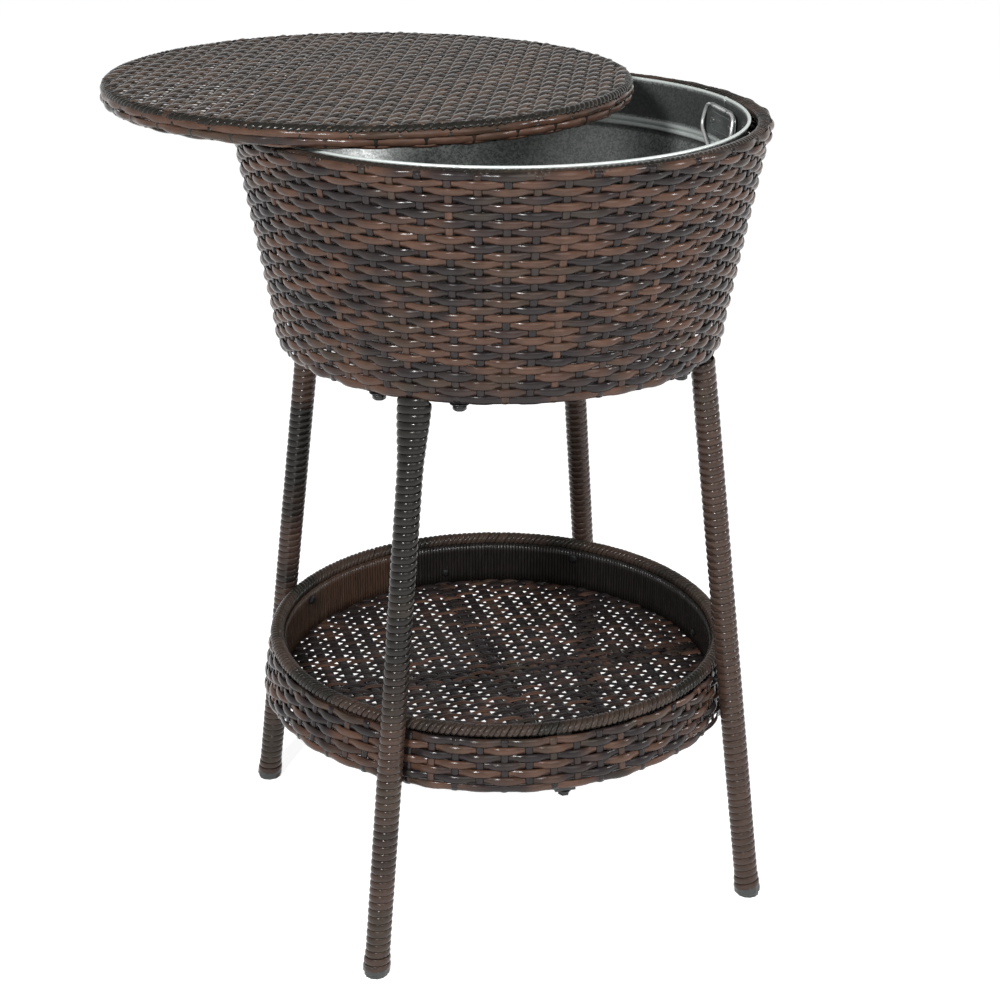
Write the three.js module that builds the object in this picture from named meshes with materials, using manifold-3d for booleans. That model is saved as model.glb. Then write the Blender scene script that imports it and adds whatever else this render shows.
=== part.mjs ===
// Round wicker cooler table: a lift-out steel tub in a tapered basket on four splayed legs,
// with a shallow tray between the legs and a loose round top that lies on the basket rim.
// Millimetres, +Z up, front of the table towards -Y.
import * as THREE from "three";
import { mergeVertices } from "three/addons/utils/BufferGeometryUtils.js";
import Module from "manifold-3d";

const wasm = await Module();
wasm.setup();

// Overall sizes
const tableHeight = 799.4;
const tableTopDiameter = 508;
const topThickness = 20.9;
const rimDiameter = 504;
const basketDepth = 216.6;
const basketFloorDiameter = 436;
const trayHeight = 187;
const trayDepth = 66.4;
const legCount = 4;
const legAngle = -22.2;
const legOffset = 5.8;
const legSplay = 77.1;
const legTwist = 2.6;
const topShift = 143.6;
const topShiftAngle = 151.35;

// Clearances
const seatGap = 0.3;
const boltClearance = 0.3;
const overrun = 2;

// Fineness of round shapes
const ringSides = 48;
const sectionSteps = 8;
const hiddenSteps = 6;
const rodSides = 12;
const boreSides = 8;

// Furrows between the strands of the flat weaves
const furrowWidth = 2.6;
const furrowDepth = 1.5;

// Rim bindings
const bindingRadius = 7.5;
const ringRadius = 5;
const bindingRoom = 0.6;
const bindingOuterEnd = -50;
const bindingInnerEnd = 210;
const bindingSteps = 7;

// Basket
const weaveThickness = 4;
const turnedEdge = 2.4;
const cornerHeight = 28.5;
const cornerInset = 11;
const cornerShares = [[0, 1], [0.06, 0.66], [0.34, 0.24], [1, 0]];
const strutRadius = 2.5;
const strutCount = 8;
const strutSides = 6;
const basketRingRadius = 5.5;
const crossBarWidth = 20;
const crossBarThickness = 4;

// Leg parts
const tubeRadius = 9.5;
const tubeWall = 1.2;
const wrapRadius = 12.4;
const wrapTopTangent = 15.6;
const wrapTopRadial = 10.9;
const wrapFlareLength = 62;
const wrapFlareShares = [[1, 0], [0.6, 0.2], [0.3, 0.6], [0, 1]];
const capRadius = 13.2;
const capHeight = 11;
const capFloor = 4;
const capEdge = 1.6;
const flangeWidth = 23;
const flangeReach = 8.8;
const flangeHalfAngle = 14.6;
const flangeThickness = 3.2;
const flangeBoltAngle = 11.3;

// Fasteners
const boltRadius = 3;
const boltHead = 5.6;
const boltHeadHeight = 3.8;
const washerRadius = 6.8;
const washerHeight = 1;
const frameBoltLength = 7;
const buttonHead = 5.2;
const buttonHeight = 2.8;
const buttonFaceShare = 0.55;
const buttonEdgeShare = 0.35;

// Tray
const trayLegGap = 1.1;
const trayFloorThickness = 4.4;
const trayFloorEdge = 2;
const trayFloorPitch = 7.35;
const trayFloorAngle = 15.5;
const trayFloorRise = 7.2;
const trayRingRadius = 5;
const trayWeaveThickness = 5;
const liningThickness = 2.6;
const liningStand = 1.1;
const postWidth = 14;
const postThickness = 4;
const trayBarAngle = 15;
const trayBarWidth = 20;
const trayBarThickness = 3.7;
const trayChordOffset = 94;
const trayChordAngle = -2;
const legBoltHeightShare = 0.84;
const postBoltHeightShare = 0.278;
const postBoltRadius = 2.5;

// Tub
const tubRimDrop = 6.1;
const tubRimGap = 5.2;
const tubWall = 1.2;
const tubBead = 3;
const tubNeckHeight = 41;
const tubNeckTaper = 1.8;
const tubLedgeReach = 3;
const tubLedgeHeight = 8;
const tubLedgeFlatShare = 0.2;
const tubStep = 1.2;
const tubFloorRoom = 26;
const tubCorner = 9;
const tubCornerSteps = 3;
const tubCornerTop = -8;
const tubRimSteps = 6;
const tubRimStart = 190;
const tubRimEnd = -50;

// Tub handles
const handleCount = 2;
const handleAngle = 14.4;
const wireRadius = 1.6;
const wireSides = 6;
const wireGap = 0.4;
const handleLean = 9.6;
const pivotDrop = 4.6;
const handleReach = 39.5;
const handleHalfWidth = 38;
const loopShares = [[0.79, 0.01], [0.9, 0.09], [0.98, 0.21], [1, 0.35], [0.97, 0.5], [0.88, 0.64],
  [0.72, 0.78], [0.48, 0.9], [0.2, 0.98]];
const plateWidth = 74;
const curlWidth = 50;
const curlEnd = 230;
const curlSteps = 6;
const plateDrop = 28;
const plateThickness = 1.2;
const rivetSpacing = 44;
const rivetDrop = 15;
const rivetRadius = 2;
const rivetHead = 3.6;
const rivetHeadHeight = 1.4;
const rivetTail = 3.4;

// Table top
const topWeaveThickness = 3.7;
const topRowPitch = 7.08;
const topRowAngle = 66.1;
const topRingRadius = 6.5;
const topBarWidth = 20;
const topBarThickness = 4;
const topEdgeRound = 5;
const topShoulder = 1.5;

// Heights and radii that follow
const degree = Math.PI / 180;
const fullTurn = 360 * degree;
const halfTurn = 180 * degree;
const quarterTurn = 90 * degree;
const facetShare = Math.cos(halfTurn / ringSides);
const topUnderside = tableHeight - topThickness;
const rimTop = topUnderside - seatGap;
const rimHeight = rimTop - bindingRadius;
const rimRadius = rimDiameter / 2 - bindingRadius;
const basketBottom = rimTop - basketDepth;
const bindingBore = ringRadius + bindingRoom;
const bindingEndDrop = bindingRadius * Math.sin(-bindingOuterEnd * degree);
const flangeTop = basketBottom - seatGap;
const flangeBottom = flangeTop - flangeThickness;
const legTop = flangeBottom - seatGap;
const trayTop = trayHeight + trayDepth - seatGap;
const trayRimHeight = trayTop - bindingRadius;
const trayFloorBottom = trayHeight + trayFloorRise;
const trayFloorTop = trayFloorBottom + trayFloorThickness;
const trayWallTop = trayRimHeight - bindingEndDrop - seatGap;
const legBoltHeight = trayFloorTop + (trayWallTop - trayFloorTop) * legBoltHeightShare;
const postBoltHeight = trayFloorTop + (trayWallTop - trayFloorTop) * postBoltHeightShare;
const tubTop = rimTop - tubRimDrop;
const floorRadius = basketFloorDiameter / 2;
const floorRingRadius = floorRadius - cornerInset - turnedEdge - seatGap - basketRingRadius;
const floorRingHeight = basketBottom + basketRingRadius;
const legTopRadius = floorRingRadius + legOffset;
const legFootRadius = legTopRadius + legSplay;

// Colours
const strandBrown = 0x4e3c33;
const strandDark = 0x3a3331;
const blackSteel = 0x1c1d1e;
const zinc = 0xa9b0ad;
const slatePlastic = 0x3c4240;

function material(color, roughness, metalness) {
  return new THREE.MeshStandardMaterial({ color, roughness, metalness });
}

// Closed surface with merged vertices and its faces turned outwards
function closed(geometry) {
  const bare = geometry.clone();
  bare.deleteAttribute("normal");
  bare.deleteAttribute("uv");
  const merged = mergeVertices(bare, 1e-4);
  const at = merged.attributes.position;
  const index = merged.index.array;
  const a = new THREE.Vector3();
  const b = new THREE.Vector3();
  const c = new THREE.Vector3();
  const kept = [];
  let volume = 0;
  for (let i = 0; i < index.length; i += 3) {
    if (index[i] === index[i + 1] || index[i + 1] === index[i + 2] || index[i] === index[i + 2]) continue;
    a.fromBufferAttribute(at, index[i]);
    b.fromBufferAttribute(at, index[i + 1]);
    c.fromBufferAttribute(at, index[i + 2]);
    volume += a.dot(b.cross(c));
    kept.push(index[i], index[i + 1], index[i + 2]);
  }
  if (volume < 0) kept.reverse();
  merged.setIndex(kept);
  return merged;
}

function toManifold(geometry) {
  const whole = closed(geometry);
  return new wasm.Manifold(new wasm.Mesh({
    numProp: 3,
    vertProperties: new Float32Array(whole.attributes.position.array),
    triVerts: new Uint32Array(whole.index.array),
  }));
}

function fromManifold(solid) {
  const mesh = solid.getMesh();
  const geometry = new THREE.BufferGeometry();
  geometry.setAttribute("position", new THREE.BufferAttribute(new Float32Array(mesh.vertProperties), 3));
  geometry.setIndex(new THREE.BufferAttribute(new Uint32Array(mesh.triVerts), 1));
  return geometry;
}

function joined(shapes) {
  return fromManifold(shapes.map(toManifold).reduce((whole, next) => whole.add(next)));
}

function cut(shape, tools) {
  return fromManifold(tools.map(toManifold).reduce((whole, tool) => whole.subtract(tool), toManifold(shape)));
}

// Solid of revolution about the upright axis from a profile of [radius, height] points
function turned(profile, sides = ringSides) {
  const points = profile.map(([radius, height]) => new THREE.Vector2(radius, height));
  return new THREE.LatheGeometry(points, sides).rotateX(quarterTurn);
}

// Round weave with straight furrows between its rows of strands, which run at the given angle
function furrowed(shape, radius, top, pitch, angle) {
  const half = furrowWidth / 2;
  const outline = new THREE.Shape([[-half, top + overrun], [-half, top], [0, top - furrowDepth],
    [half, top], [half, top + overrun]].map(([across, height]) => new THREE.Vector2(across, height)));
  const length = 2 * (radius + overrun);
  const furrow = new THREE.ExtrudeGeometry(outline, { depth: length, bevelEnabled: false })
    .translate(0, 0, -length / 2).rotateX(quarterTurn);
  const tools = [];
  for (let place = pitch / 2; place + half < radius * facetShare; place += pitch) {
    for (const side of [-place, place]) {
      tools.push(aroundUpright(furrow.clone().translate(side, 0, 0), angle + 90));
    }
  }
  return cut(shape, tools);
}

// Points of a circular arc, angles in degrees
function arc(centreX, centreY, radius, from, to, steps) {
  const points = [];
  for (let i = 0; i <= steps; i += 1) {
    const angle = (from + (to - from) * i / steps) * degree;
    points.push([centreX + radius * Math.cos(angle), centreY + radius * Math.sin(angle)]);
  }
  return points;
}

function ring(radius, height, section, steps = sectionSteps) {
  return turned(arc(radius, height, section, 0, 360, steps));
}

// Upright disc or drum
function drum(radius, bottom, top, sides = ringSides) {
  return turned([[0, bottom], [radius, bottom], [radius, top], [0, top]], sides);
}

// Round rod between two points
function rod(from, to, radius, sides = rodSides) {
  const start = new THREE.Vector3(...from);
  const along = new THREE.Vector3(...to).sub(start);
  const geometry = new THREE.CylinderGeometry(radius, radius, along.length(), sides);
  const turn = new THREE.Quaternion().setFromUnitVectors(new THREE.Vector3(0, 1, 0), along.clone().normalize());
  return geometry.applyQuaternion(turn).translate(...start.addScaledVector(along, 0.5).toArray());
}

// Rectangular bar lying along X, with its middle at the given place
function block(length, width, height, x, y, z) {
  return new THREE.BoxGeometry(length, width, height).translate(x, y, z);
}

function hexagonHead(radius, bottom, top) {
  return turned([[0, bottom], [radius, bottom], [radius, top], [0, top]], 6);
}

function aroundUpright(geometry, angle) {
  return geometry.clone().rotateZ(angle * degree);
}

// C-shaped wrap round a rim ring, open underneath
function binding(radius, height) {
  const outside = arc(radius, height, bindingRadius, bindingOuterEnd, bindingInnerEnd, bindingSteps);
  const inside = arc(radius, height, bindingBore, bindingInnerEnd, bindingOuterEnd, bindingSteps);
  return turned([...outside, ...inside, outside[0]]);
}

const table = new THREE.Group();

function place(name, geometry, finish, parent = table) {
  const mesh = new THREE.Mesh(closed(geometry), finish);
  mesh.name = name;
  parent.add(mesh);
  return mesh;
}

const woven = material(strandBrown, 0.55, 0);
const wovenDark = material(strandDark, 0.55, 0);
const painted = material(blackSteel, 0.45, 0.3);
const galvanised = material(zinc, 0.35, 0.85);
const brightWire = material(zinc, 0.2, 0.95);
const plastic = material(slatePlastic, 0.6, 0);

// Basket wall: straight taper that rounds in at the bottom
const wallTop = rimHeight - bindingEndDrop - seatGap;
const wallTopRadius = rimRadius + ringRadius;
const cornerTop = basketBottom + cornerHeight;
const wallSlope = (wallTopRadius - floorRadius) / (rimHeight - cornerTop);
const wallRadiusAt = (height) => floorRadius + wallSlope * (height - cornerTop);
const innerInset = cornerInset - weaveThickness + turnedEdge;

function basketWall() {
  const outside = cornerShares.map(([inset, rise]) => [
    floorRadius - cornerInset * inset, basketBottom + cornerHeight * rise]);
  const inside = cornerShares.map(([inset, rise]) => [
    floorRadius - weaveThickness - innerInset * inset, basketBottom + cornerHeight * rise]);
  const outerTop = [wallRadiusAt(wallTop), wallTop];
  const innerTop = [wallRadiusAt(wallTop) - weaveThickness, wallTop];
  return turned([outerTop, ...outside, ...inside.reverse(), innerTop, outerTop]);
}

// Welded basket frame: rim ring, floor ring and upright rods
function basketFrame() {
  const head = [wallRadiusAt(rimHeight) - weaveThickness - strutRadius - seatGap, 0, rimHeight];
  const heel = [floorRingRadius + basketRingRadius / 2, 0, floorRingHeight];
  const strut = rod(heel, head, strutRadius, strutSides);
  const parts = [ring(rimRadius, rimHeight, ringRadius, hiddenSteps), ring(floorRingRadius, floorRingHeight, basketRingRadius)];
  for (let i = 0; i < strutCount; i += 1) {
    parts.push(aroundUpright(strut, legAngle + 360 * (i + 0.5) / strutCount));
  }
  const holes = [];
  for (let i = 0; i < legCount; i += 1) {
    for (const side of [-1, 1]) {
      const hole = rod([floorRingRadius, 0, basketBottom - overrun],
        [floorRingRadius, 0, flangeTop + frameBoltLength + seatGap],
        boltRadius + boltClearance, boreSides);
      holes.push(aroundUpright(hole, legAngle + 360 * i / legCount + side * flangeBoltAngle));
    }
  }
  return cut(joined(parts), holes);
}

place("basket_frame", basketFrame(), painted);
place("basket_weave", basketWall(), woven);
place("basket_rim_binding", binding(rimRadius, rimHeight), woven);

// Crossed flat bars that carry the tub, lying on the floor ring
const crossBarBottom = floorRingHeight + basketRingRadius + seatGap;
const crossBarTop = crossBarBottom + crossBarThickness;
const crossBar = block(2 * floorRingRadius, crossBarWidth, crossBarThickness,
  0, 0, crossBarBottom + crossBarThickness / 2);
place("basket_floor_cross",
  joined([aroundUpright(crossBar, legAngle), aroundUpright(crossBar, legAngle + 90)]), painted);

// Middle of a leg at a height, in the leg's own upright plane
function legPoint(height) {
  const share = (legTop - height) / legTop;
  const footX = legFootRadius * Math.cos(legTwist * degree);
  const footY = -legFootRadius * Math.sin(legTwist * degree);
  return new THREE.Vector3(legTopRadius + (footX - legTopRadius) * share, footY * share, height);
}

const footPoint = legPoint(0);
const legAxis = legPoint(legTop).sub(footPoint).normalize();

// Tray frame, floor and wall, which stand just inside the four leaning legs
function trayOuterAt(height) {
  const leg = legPoint(height);
  return Math.hypot(leg.x, leg.y) - wrapRadius / legAxis.z - trayLegGap;
}

const trayRimRadius = trayOuterAt(trayRimHeight) - bindingRadius;
const trayRingHeight = trayHeight + trayRingRadius + seatGap * 2;
const trayRingCentre = trayOuterAt(trayRingHeight) - trayWeaveThickness - seatGap * 2 - trayRingRadius;
const liningOuter = trayRimRadius - ringRadius - liningStand;
const liningInner = liningOuter - liningThickness;

const boltPlace = legPoint(legBoltHeight);
const trayLegAngle = legAngle + Math.atan2(boltPlace.y, boltPlace.x) / degree;
const boltReach = Math.hypot(boltPlace.x, boltPlace.y) - tubeRadius + tubeWall * 2 + boltRadius;

function radialHole(angle, height, radius, from, to) {
  return aroundUpright(rod([from, 0, height], [to, 0, height], radius, boreSides), angle);
}

function legBoltHoles() {
  return Array.from({ length: legCount }, (_, i) => radialHole(
    trayLegAngle + 360 * i / legCount, legBoltHeight, boltRadius + boltClearance,
    liningInner - overrun, boltReach + overrun));
}

function postBoltHoles() {
  return Array.from({ length: legCount }, (_, i) => radialHole(
    trayBarAngle + 360 * i / legCount, postBoltHeight, postBoltRadius + boltClearance,
    liningInner - overrun, trayRingCentre + postThickness + overrun));
}

const tabBottom = trayRingHeight - trayRingRadius - seatGap - trayBarThickness;
const tabTop = tabBottom + trayBarThickness;
const trayBarTop = trayFloorBottom - seatGap;
const trayBarBottom = trayBarTop - trayBarThickness;
const trayFloorRadius = trayRingCentre - trayRingRadius - seatGap;
const trayBarEnd = Math.sqrt((trayFloorRadius * facetShare) ** 2 - (trayBarWidth / 2) ** 2);
const tabLength = trayRingCentre + trayRingRadius - trayBarEnd;
const headSeat = liningInner * facetShare - seatGap;

function trayFrame() {
  const lower = new THREE.Vector3(trayRingCentre, 0, trayRingHeight);
  const upper = new THREE.Vector3(trayRimRadius, 0, trayRimHeight);
  const rise = upper.clone().sub(lower);
  const bar = new THREE.BoxGeometry(postThickness, postWidth, rise.length());
  bar.rotateY(Math.atan2(rise.x, rise.z));
  bar.translate(...lower.addScaledVector(rise, 0.5).toArray());
  const parts = [ring(trayRimRadius, trayRimHeight, ringRadius, hiddenSteps), ring(trayRingCentre, trayRingHeight, trayRingRadius)];
  const holes = [...legBoltHoles(), ...postBoltHoles()];
  for (let i = 0; i < legCount; i += 1) {
    parts.push(aroundUpright(bar, trayLegAngle + 360 * i / legCount));
    parts.push(aroundUpright(bar, trayBarAngle + 360 * i / legCount));
    const hole = rod([trayRingCentre, 0, trayHeight - overrun],
      [trayRingCentre, 0, tabTop + frameBoltLength + seatGap],
      boltRadius + boltClearance, boreSides);
    holes.push(aroundUpright(hole, trayBarAngle + 360 * i / legCount));
  }
  return cut(joined(parts), holes);
}

// Floor bars: two crossed diameters with stepped-down end tabs, and one chord
function trayBars() {
  const middle = trayBarBottom + trayBarThickness / 2;
  const span = block(2 * trayBarEnd, trayBarWidth, trayBarThickness, 0, 0, middle);
  const stepDepth = trayBarTop - tabBottom;
  const step = block(trayBarThickness, trayBarWidth, stepDepth,
    trayBarEnd - trayBarThickness / 2, 0, tabBottom + stepDepth / 2);
  const tab = block(tabLength + trayBarThickness, trayBarWidth, trayBarThickness,
    trayBarEnd + tabLength / 2 - trayBarThickness / 2, 0, tabBottom + trayBarThickness / 2);
  const chordHalf = Math.sqrt(trayBarEnd ** 2 - (trayChordOffset + trayBarWidth / 2) ** 2);
  const chord = block(trayBarWidth, 2 * chordHalf, trayBarThickness, trayChordOffset, 0, middle);
  const parts = [aroundUpright(span, trayBarAngle), aroundUpright(span, trayBarAngle + 90),
    aroundUpright(chord, trayChordAngle)];
  const holes = [];
  for (let i = 0; i < legCount; i += 1) {
    const turn = trayBarAngle + 360 * i / legCount;
    parts.push(aroundUpright(step, turn), aroundUpright(tab, turn));
    holes.push(aroundUpright(rod([trayRingCentre, 0, tabBottom - overrun],
      [trayRingCentre, 0, tabTop + overrun], boltRadius + boltClearance, boreSides), turn));
  }
  return cut(joined(parts), holes);
}

function trayWall() {
  const top = trayWallTop;
  const low = trayHeight + turnedEdge;
  const outer = [[trayOuterAt(top), top], [trayOuterAt(low), low],
    [trayOuterAt(trayHeight) - turnedEdge, trayHeight]];
  const inner = outer.map(([radius, height]) => [radius - trayWeaveThickness, height]).reverse();
  inner[0][0] += turnedEdge;
  return cut(turned([...outer, ...inner, outer[0]]), legBoltHoles());
}

function trayLining() {
  const top = trayWallTop;
  const bottom = trayFloorBottom + trayFloorEdge + seatGap;
  const sleeve = turned([[liningInner, bottom], [liningOuter, bottom], [liningOuter, top],
    [liningInner, top], [liningInner, bottom]]);
  return cut(sleeve, [...legBoltHoles(), ...postBoltHoles()]);
}

// Woven floor, thinner where its edge passes under the lining to the floor ring
function trayFloor() {
  const edgeTop = trayFloorBottom + trayFloorEdge;
  const face = liningInner - seatGap;
  const floor = turned([[0, trayFloorBottom], [trayFloorRadius, trayFloorBottom], [trayFloorRadius, edgeTop],
    [face, edgeTop], [face, trayFloorTop], [0, trayFloorTop]]);
  return furrowed(floor, face, trayFloorTop, trayFloorPitch, trayFloorAngle);
}

place("tray_frame", trayFrame(), painted);
place("tray_floor_bars", trayBars(), painted);
place("tray_floor_weave", trayFloor(), wovenDark);
place("tray_wall_weave", trayWall(), woven);
place("tray_lining", trayLining(), wovenDark);
place("tray_rim_binding", binding(trayRimRadius, trayRimHeight), woven);

// Bolt with a hexagon head and a washer face, head down, its washer against the plane at "seat"
function hexagonBolt(seat, length) {
  const head = hexagonHead(boltHead, seat - washerHeight - boltHeadHeight, seat - washerHeight / 2);
  const washer = drum(washerRadius, seat - washerHeight, seat, rodSides);
  const shank = drum(boltRadius, seat - washerHeight / 2, seat + length, boreSides);
  return joined([head, washer, shank]);
}

// Button-headed screw pointing outwards along X, its head against the radius at "seat"
function buttonScrew(seat, length, radius, height) {
  const head = buttonHead * radius / boltRadius;
  const rise = buttonHeight * radius / boltRadius;
  const profile = [[0, -rise], [head * buttonFaceShare, -rise], [head, -rise * buttonEdgeShare], [head, 0],
    [radius, 0], [radius, length], [0, length]];
  return turned(profile, boreSides).rotateY(quarterTurn).translate(seat, 0, height);
}

for (let i = 0; i < legCount; i += 1) {
  const number = i + 1;
  const turn = 360 * i / legCount;
  const trayBolt = hexagonBolt(tabBottom - seatGap, trayBarThickness + frameBoltLength + seatGap)
    .translate(trayRingCentre, 0, 0);
  place(`tray_bar_bolt_${number}`, aroundUpright(trayBolt, trayBarAngle + turn), painted);
  place(`tray_leg_bolt_${number}`, aroundUpright(
    buttonScrew(headSeat, boltReach - headSeat, boltRadius, legBoltHeight),
    trayLegAngle + turn), painted);
  place(`tray_post_screw_${number}`, aroundUpright(
    buttonScrew(headSeat, trayRingCentre - headSeat, postBoltRadius, postBoltHeight),
    trayBarAngle + turn), painted);
}

// Legs: steel tube with a wicker wrap, a bolted flange and a plastic foot cap
const legLength = legTop / legAxis.z;
const legTurn = new THREE.Quaternion().setFromUnitVectors(new THREE.Vector3(0, 0, 1), legAxis);
const farReach = tableTopDiameter;

function alongLeg(geometry) {
  return geometry.applyQuaternion(legTurn).translate(...footPoint.toArray());
}

function slabAbove(height) {
  return block(farReach, farReach, farReach, legTopRadius, 0, height + farReach / 2);
}

function slabBelow(height) {
  return block(farReach, farReach, farReach, legFootRadius, 0, height - farReach / 2);
}

function legBoltHole() {
  return radialHole(trayLegAngle - legAngle, legBoltHeight, boltRadius + boltClearance,
    liningInner - overrun, boltReach + overrun);
}

// Steel tube with a curved flat bar welded on its top, along the basket's floor ring
function legFrame() {
  const sleeve = turned([[tubeRadius - tubeWall, capFloor + seatGap], [tubeRadius, capFloor + seatGap],
    [tubeRadius, legLength + tubeRadius], [tubeRadius - tubeWall, legLength + tubeRadius],
    [tubeRadius - tubeWall, capFloor + seatGap]], rodSides);
  const tube = cut(alongLeg(sleeve), [slabAbove(flangeBottom + flangeThickness / 2), legBoltHole()]);
  const flangeInner = floorRingRadius - flangeReach;
  const outer = arc(0, 0, flangeInner + flangeWidth, -flangeHalfAngle, flangeHalfAngle, sectionSteps);
  const inner = arc(0, 0, flangeInner, flangeHalfAngle, -flangeHalfAngle, sectionSteps);
  const outline = new THREE.Shape([...outer, ...inner].map(([x, y]) => new THREE.Vector2(x, y)));
  const bar = new THREE.ExtrudeGeometry(outline, { depth: flangeThickness, bevelEnabled: false })
    .translate(0, 0, flangeBottom);
  const holes = [-1, 1].map((side) => aroundUpright(rod([floorRingRadius, 0, flangeBottom - overrun],
    [floorRingRadius, 0, flangeTop + overrun], boltRadius + boltClearance, boreSides), side * flangeBoltAngle));
  return joined([tube, cut(bar, holes)]);
}

// Wrap with a round bore, whose outside flares along the flange at the top
function legWrap() {
  const low = capHeight + seatGap;
  const high = legLength + tubeRadius;
  const bore = tubeRadius + seatGap;
  const flares = wrapFlareShares.map(([down, share]) => [legLength - wrapFlareLength * down, share]);
  const levels = [[low, 0], ...flares, [high, 1]];
  const sides = rodSides;
  const points = [];
  const faces = [];
  const loops = [
    ...levels.map(([at, flare]) => [at, THREE.MathUtils.lerp(wrapRadius, wrapTopRadial, flare),
      THREE.MathUtils.lerp(wrapRadius, wrapTopTangent, flare)]),
    [high, bore, bore], [low, bore, bore]];
  for (const [at, radial, tangent] of loops) {
    for (let i = 0; i < sides; i += 1) {
      const angle = fullTurn * i / sides;
      points.push(radial * Math.cos(angle), tangent * Math.sin(angle), at);
    }
  }
  for (let row = 0; row < loops.length; row += 1) {
    const next = (row + 1) % loops.length;
    for (let i = 0; i < sides; i += 1) {
      const j = (i + 1) % sides;
      faces.push(row * sides + i, row * sides + j, next * sides + j);
      faces.push(row * sides + i, next * sides + j, next * sides + i);
    }
  }
  const geometry = new THREE.BufferGeometry();
  geometry.setAttribute("position", new THREE.Float32BufferAttribute(points, 3));
  geometry.setIndex(faces);
  return cut(alongLeg(geometry), [slabAbove(legTop), legBoltHole()]);
}

function footCap() {
  const body = turned([[0, -capFloor], [capRadius - capEdge, -capFloor], [capRadius - capEdge, capEdge],
    [capRadius, capEdge * 2], [capRadius, capHeight], [tubeRadius + seatGap, capHeight],
    [tubeRadius + seatGap, capFloor], [0, capFloor]], rodSides);
  return cut(alongLeg(body), [slabBelow(0)]);
}

for (let i = 0; i < legCount; i += 1) {
  const number = i + 1;
  const leg = new THREE.Group();
  leg.rotation.z = (legAngle + 360 * i / legCount) * degree;
  table.add(leg);
  place(`leg_frame_${number}`, legFrame(), painted, leg);
  place(`leg_wrap_${number}`, legWrap(), woven, leg);
  place(`foot_cap_${number}`, footCap(), plastic, leg);
  for (const [side, letter] of [[-1, "a"], [1, "b"]]) {
    const bolt = hexagonBolt(flangeBottom - seatGap, frameBoltLength + flangeThickness + seatGap)
      .translate(floorRingRadius, 0, 0);
    place(`flange_bolt_${number}${letter}`, aroundUpright(bolt, side * flangeBoltAngle), painted, leg);
  }
}

// Tub: rolled rim, upper neck, swaged ledge and a tapered body
const tubRimCentre = rimRadius - bindingRadius - tubRimGap - tubBead;
const tubRimHeight = tubTop - tubBead;
const neckRadius = tubRimCentre - tubBead + tubWall / 2;
const ledgeHeight = tubTop - tubNeckHeight;
const tubFloor = crossBarTop + seatGap;
const tubFloorRadius = floorRadius - tubFloorRoom;
const ledgeRadius = neckRadius - tubNeckTaper;

// Handle plates lie as flat chords across the round neck, and the wire turns in their curled tops
const plateBack = Math.sqrt(ledgeRadius ** 2 - (plateWidth / 2) ** 2) - seatGap;
const plateFront = plateBack - plateThickness;
const curlInner = wireRadius + wireGap;
const curlOuter = curlInner + plateThickness;
const pivotRadius = plateBack - curlOuter;
const pivotHeight = tubTop - pivotDrop;
const plateTop = pivotHeight + curlOuter;

function tubShell() {
  const cornerRadius = tubFloorRadius - tubWall - tubCorner;
  const cornerHeightAt = tubFloor + tubWall + tubCorner;
  const flat = tubLedgeHeight * tubLedgeFlatShare;
  const wall = [
    [ledgeRadius - tubStep, ledgeHeight - tubLedgeHeight / 2],
    [ledgeRadius - tubLedgeReach, ledgeHeight - flat],
    [ledgeRadius - tubLedgeReach, ledgeHeight + flat],
    [ledgeRadius, ledgeHeight + tubLedgeHeight / 2],
    [neckRadius, tubRimHeight - tubBead],
  ];
  const insideCorner = arc(cornerRadius, cornerHeightAt, tubCorner, -90, tubCornerTop, tubCornerSteps);
  const outsideCorner = arc(cornerRadius, cornerHeightAt, tubCorner + tubWall, tubCornerTop, -90, tubCornerSteps);
  const rim = arc(tubRimCentre, tubRimHeight, tubBead, tubRimStart, tubRimEnd, tubRimSteps);
  const outside = wall.map(([radius, height]) => [radius + tubWall, height]).reverse();
  return turned([[0, tubFloor + tubWall], ...insideCorner, ...wall, ...rim, ...outside,
    ...outsideCorner, [0, tubFloor]]);
}

function rivetHoles() {
  return [-1, 1].map((side) => rod([plateFront - overrun, side * rivetSpacing / 2, pivotHeight - rivetDrop],
    [plateBack + rivetTail + overrun, side * rivetSpacing / 2, pivotHeight - rivetDrop],
    rivetRadius + boltClearance, boreSides));
}

function tubBody() {
  const holes = [];
  for (let i = 0; i < handleCount; i += 1) {
    holes.push(...rivetHoles().map((hole) => aroundUpright(hole, handleAngle + 360 * i / handleCount)));
  }
  return cut(tubShell(), holes);
}

place("tub", tubBody(), galvanised);

function handlePlate() {
  const outline = [
    [plateBack, pivotHeight], [plateBack, plateTop],
    ...arc(pivotRadius, pivotHeight, curlOuter, 90, curlEnd, curlSteps),
    ...arc(pivotRadius, pivotHeight, curlInner, curlEnd, 90, curlSteps),
    [plateFront, pivotHeight + curlInner], [plateFront, pivotHeight],
  ];
  const shape = new THREE.Shape(outline.map(([x, y]) => new THREE.Vector2(x, y)));
  const curl = new THREE.ExtrudeGeometry(shape, { depth: curlWidth, bevelEnabled: false })
    .rotateX(quarterTurn).translate(0, curlWidth / 2, 0);
  const tall = plateDrop + curlOuter;
  const plate = block(plateThickness, plateWidth, tall, plateBack - plateThickness / 2, 0, plateTop - tall / 2);
  return cut(joined([plate, curl]), rivetHoles());
}

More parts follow.
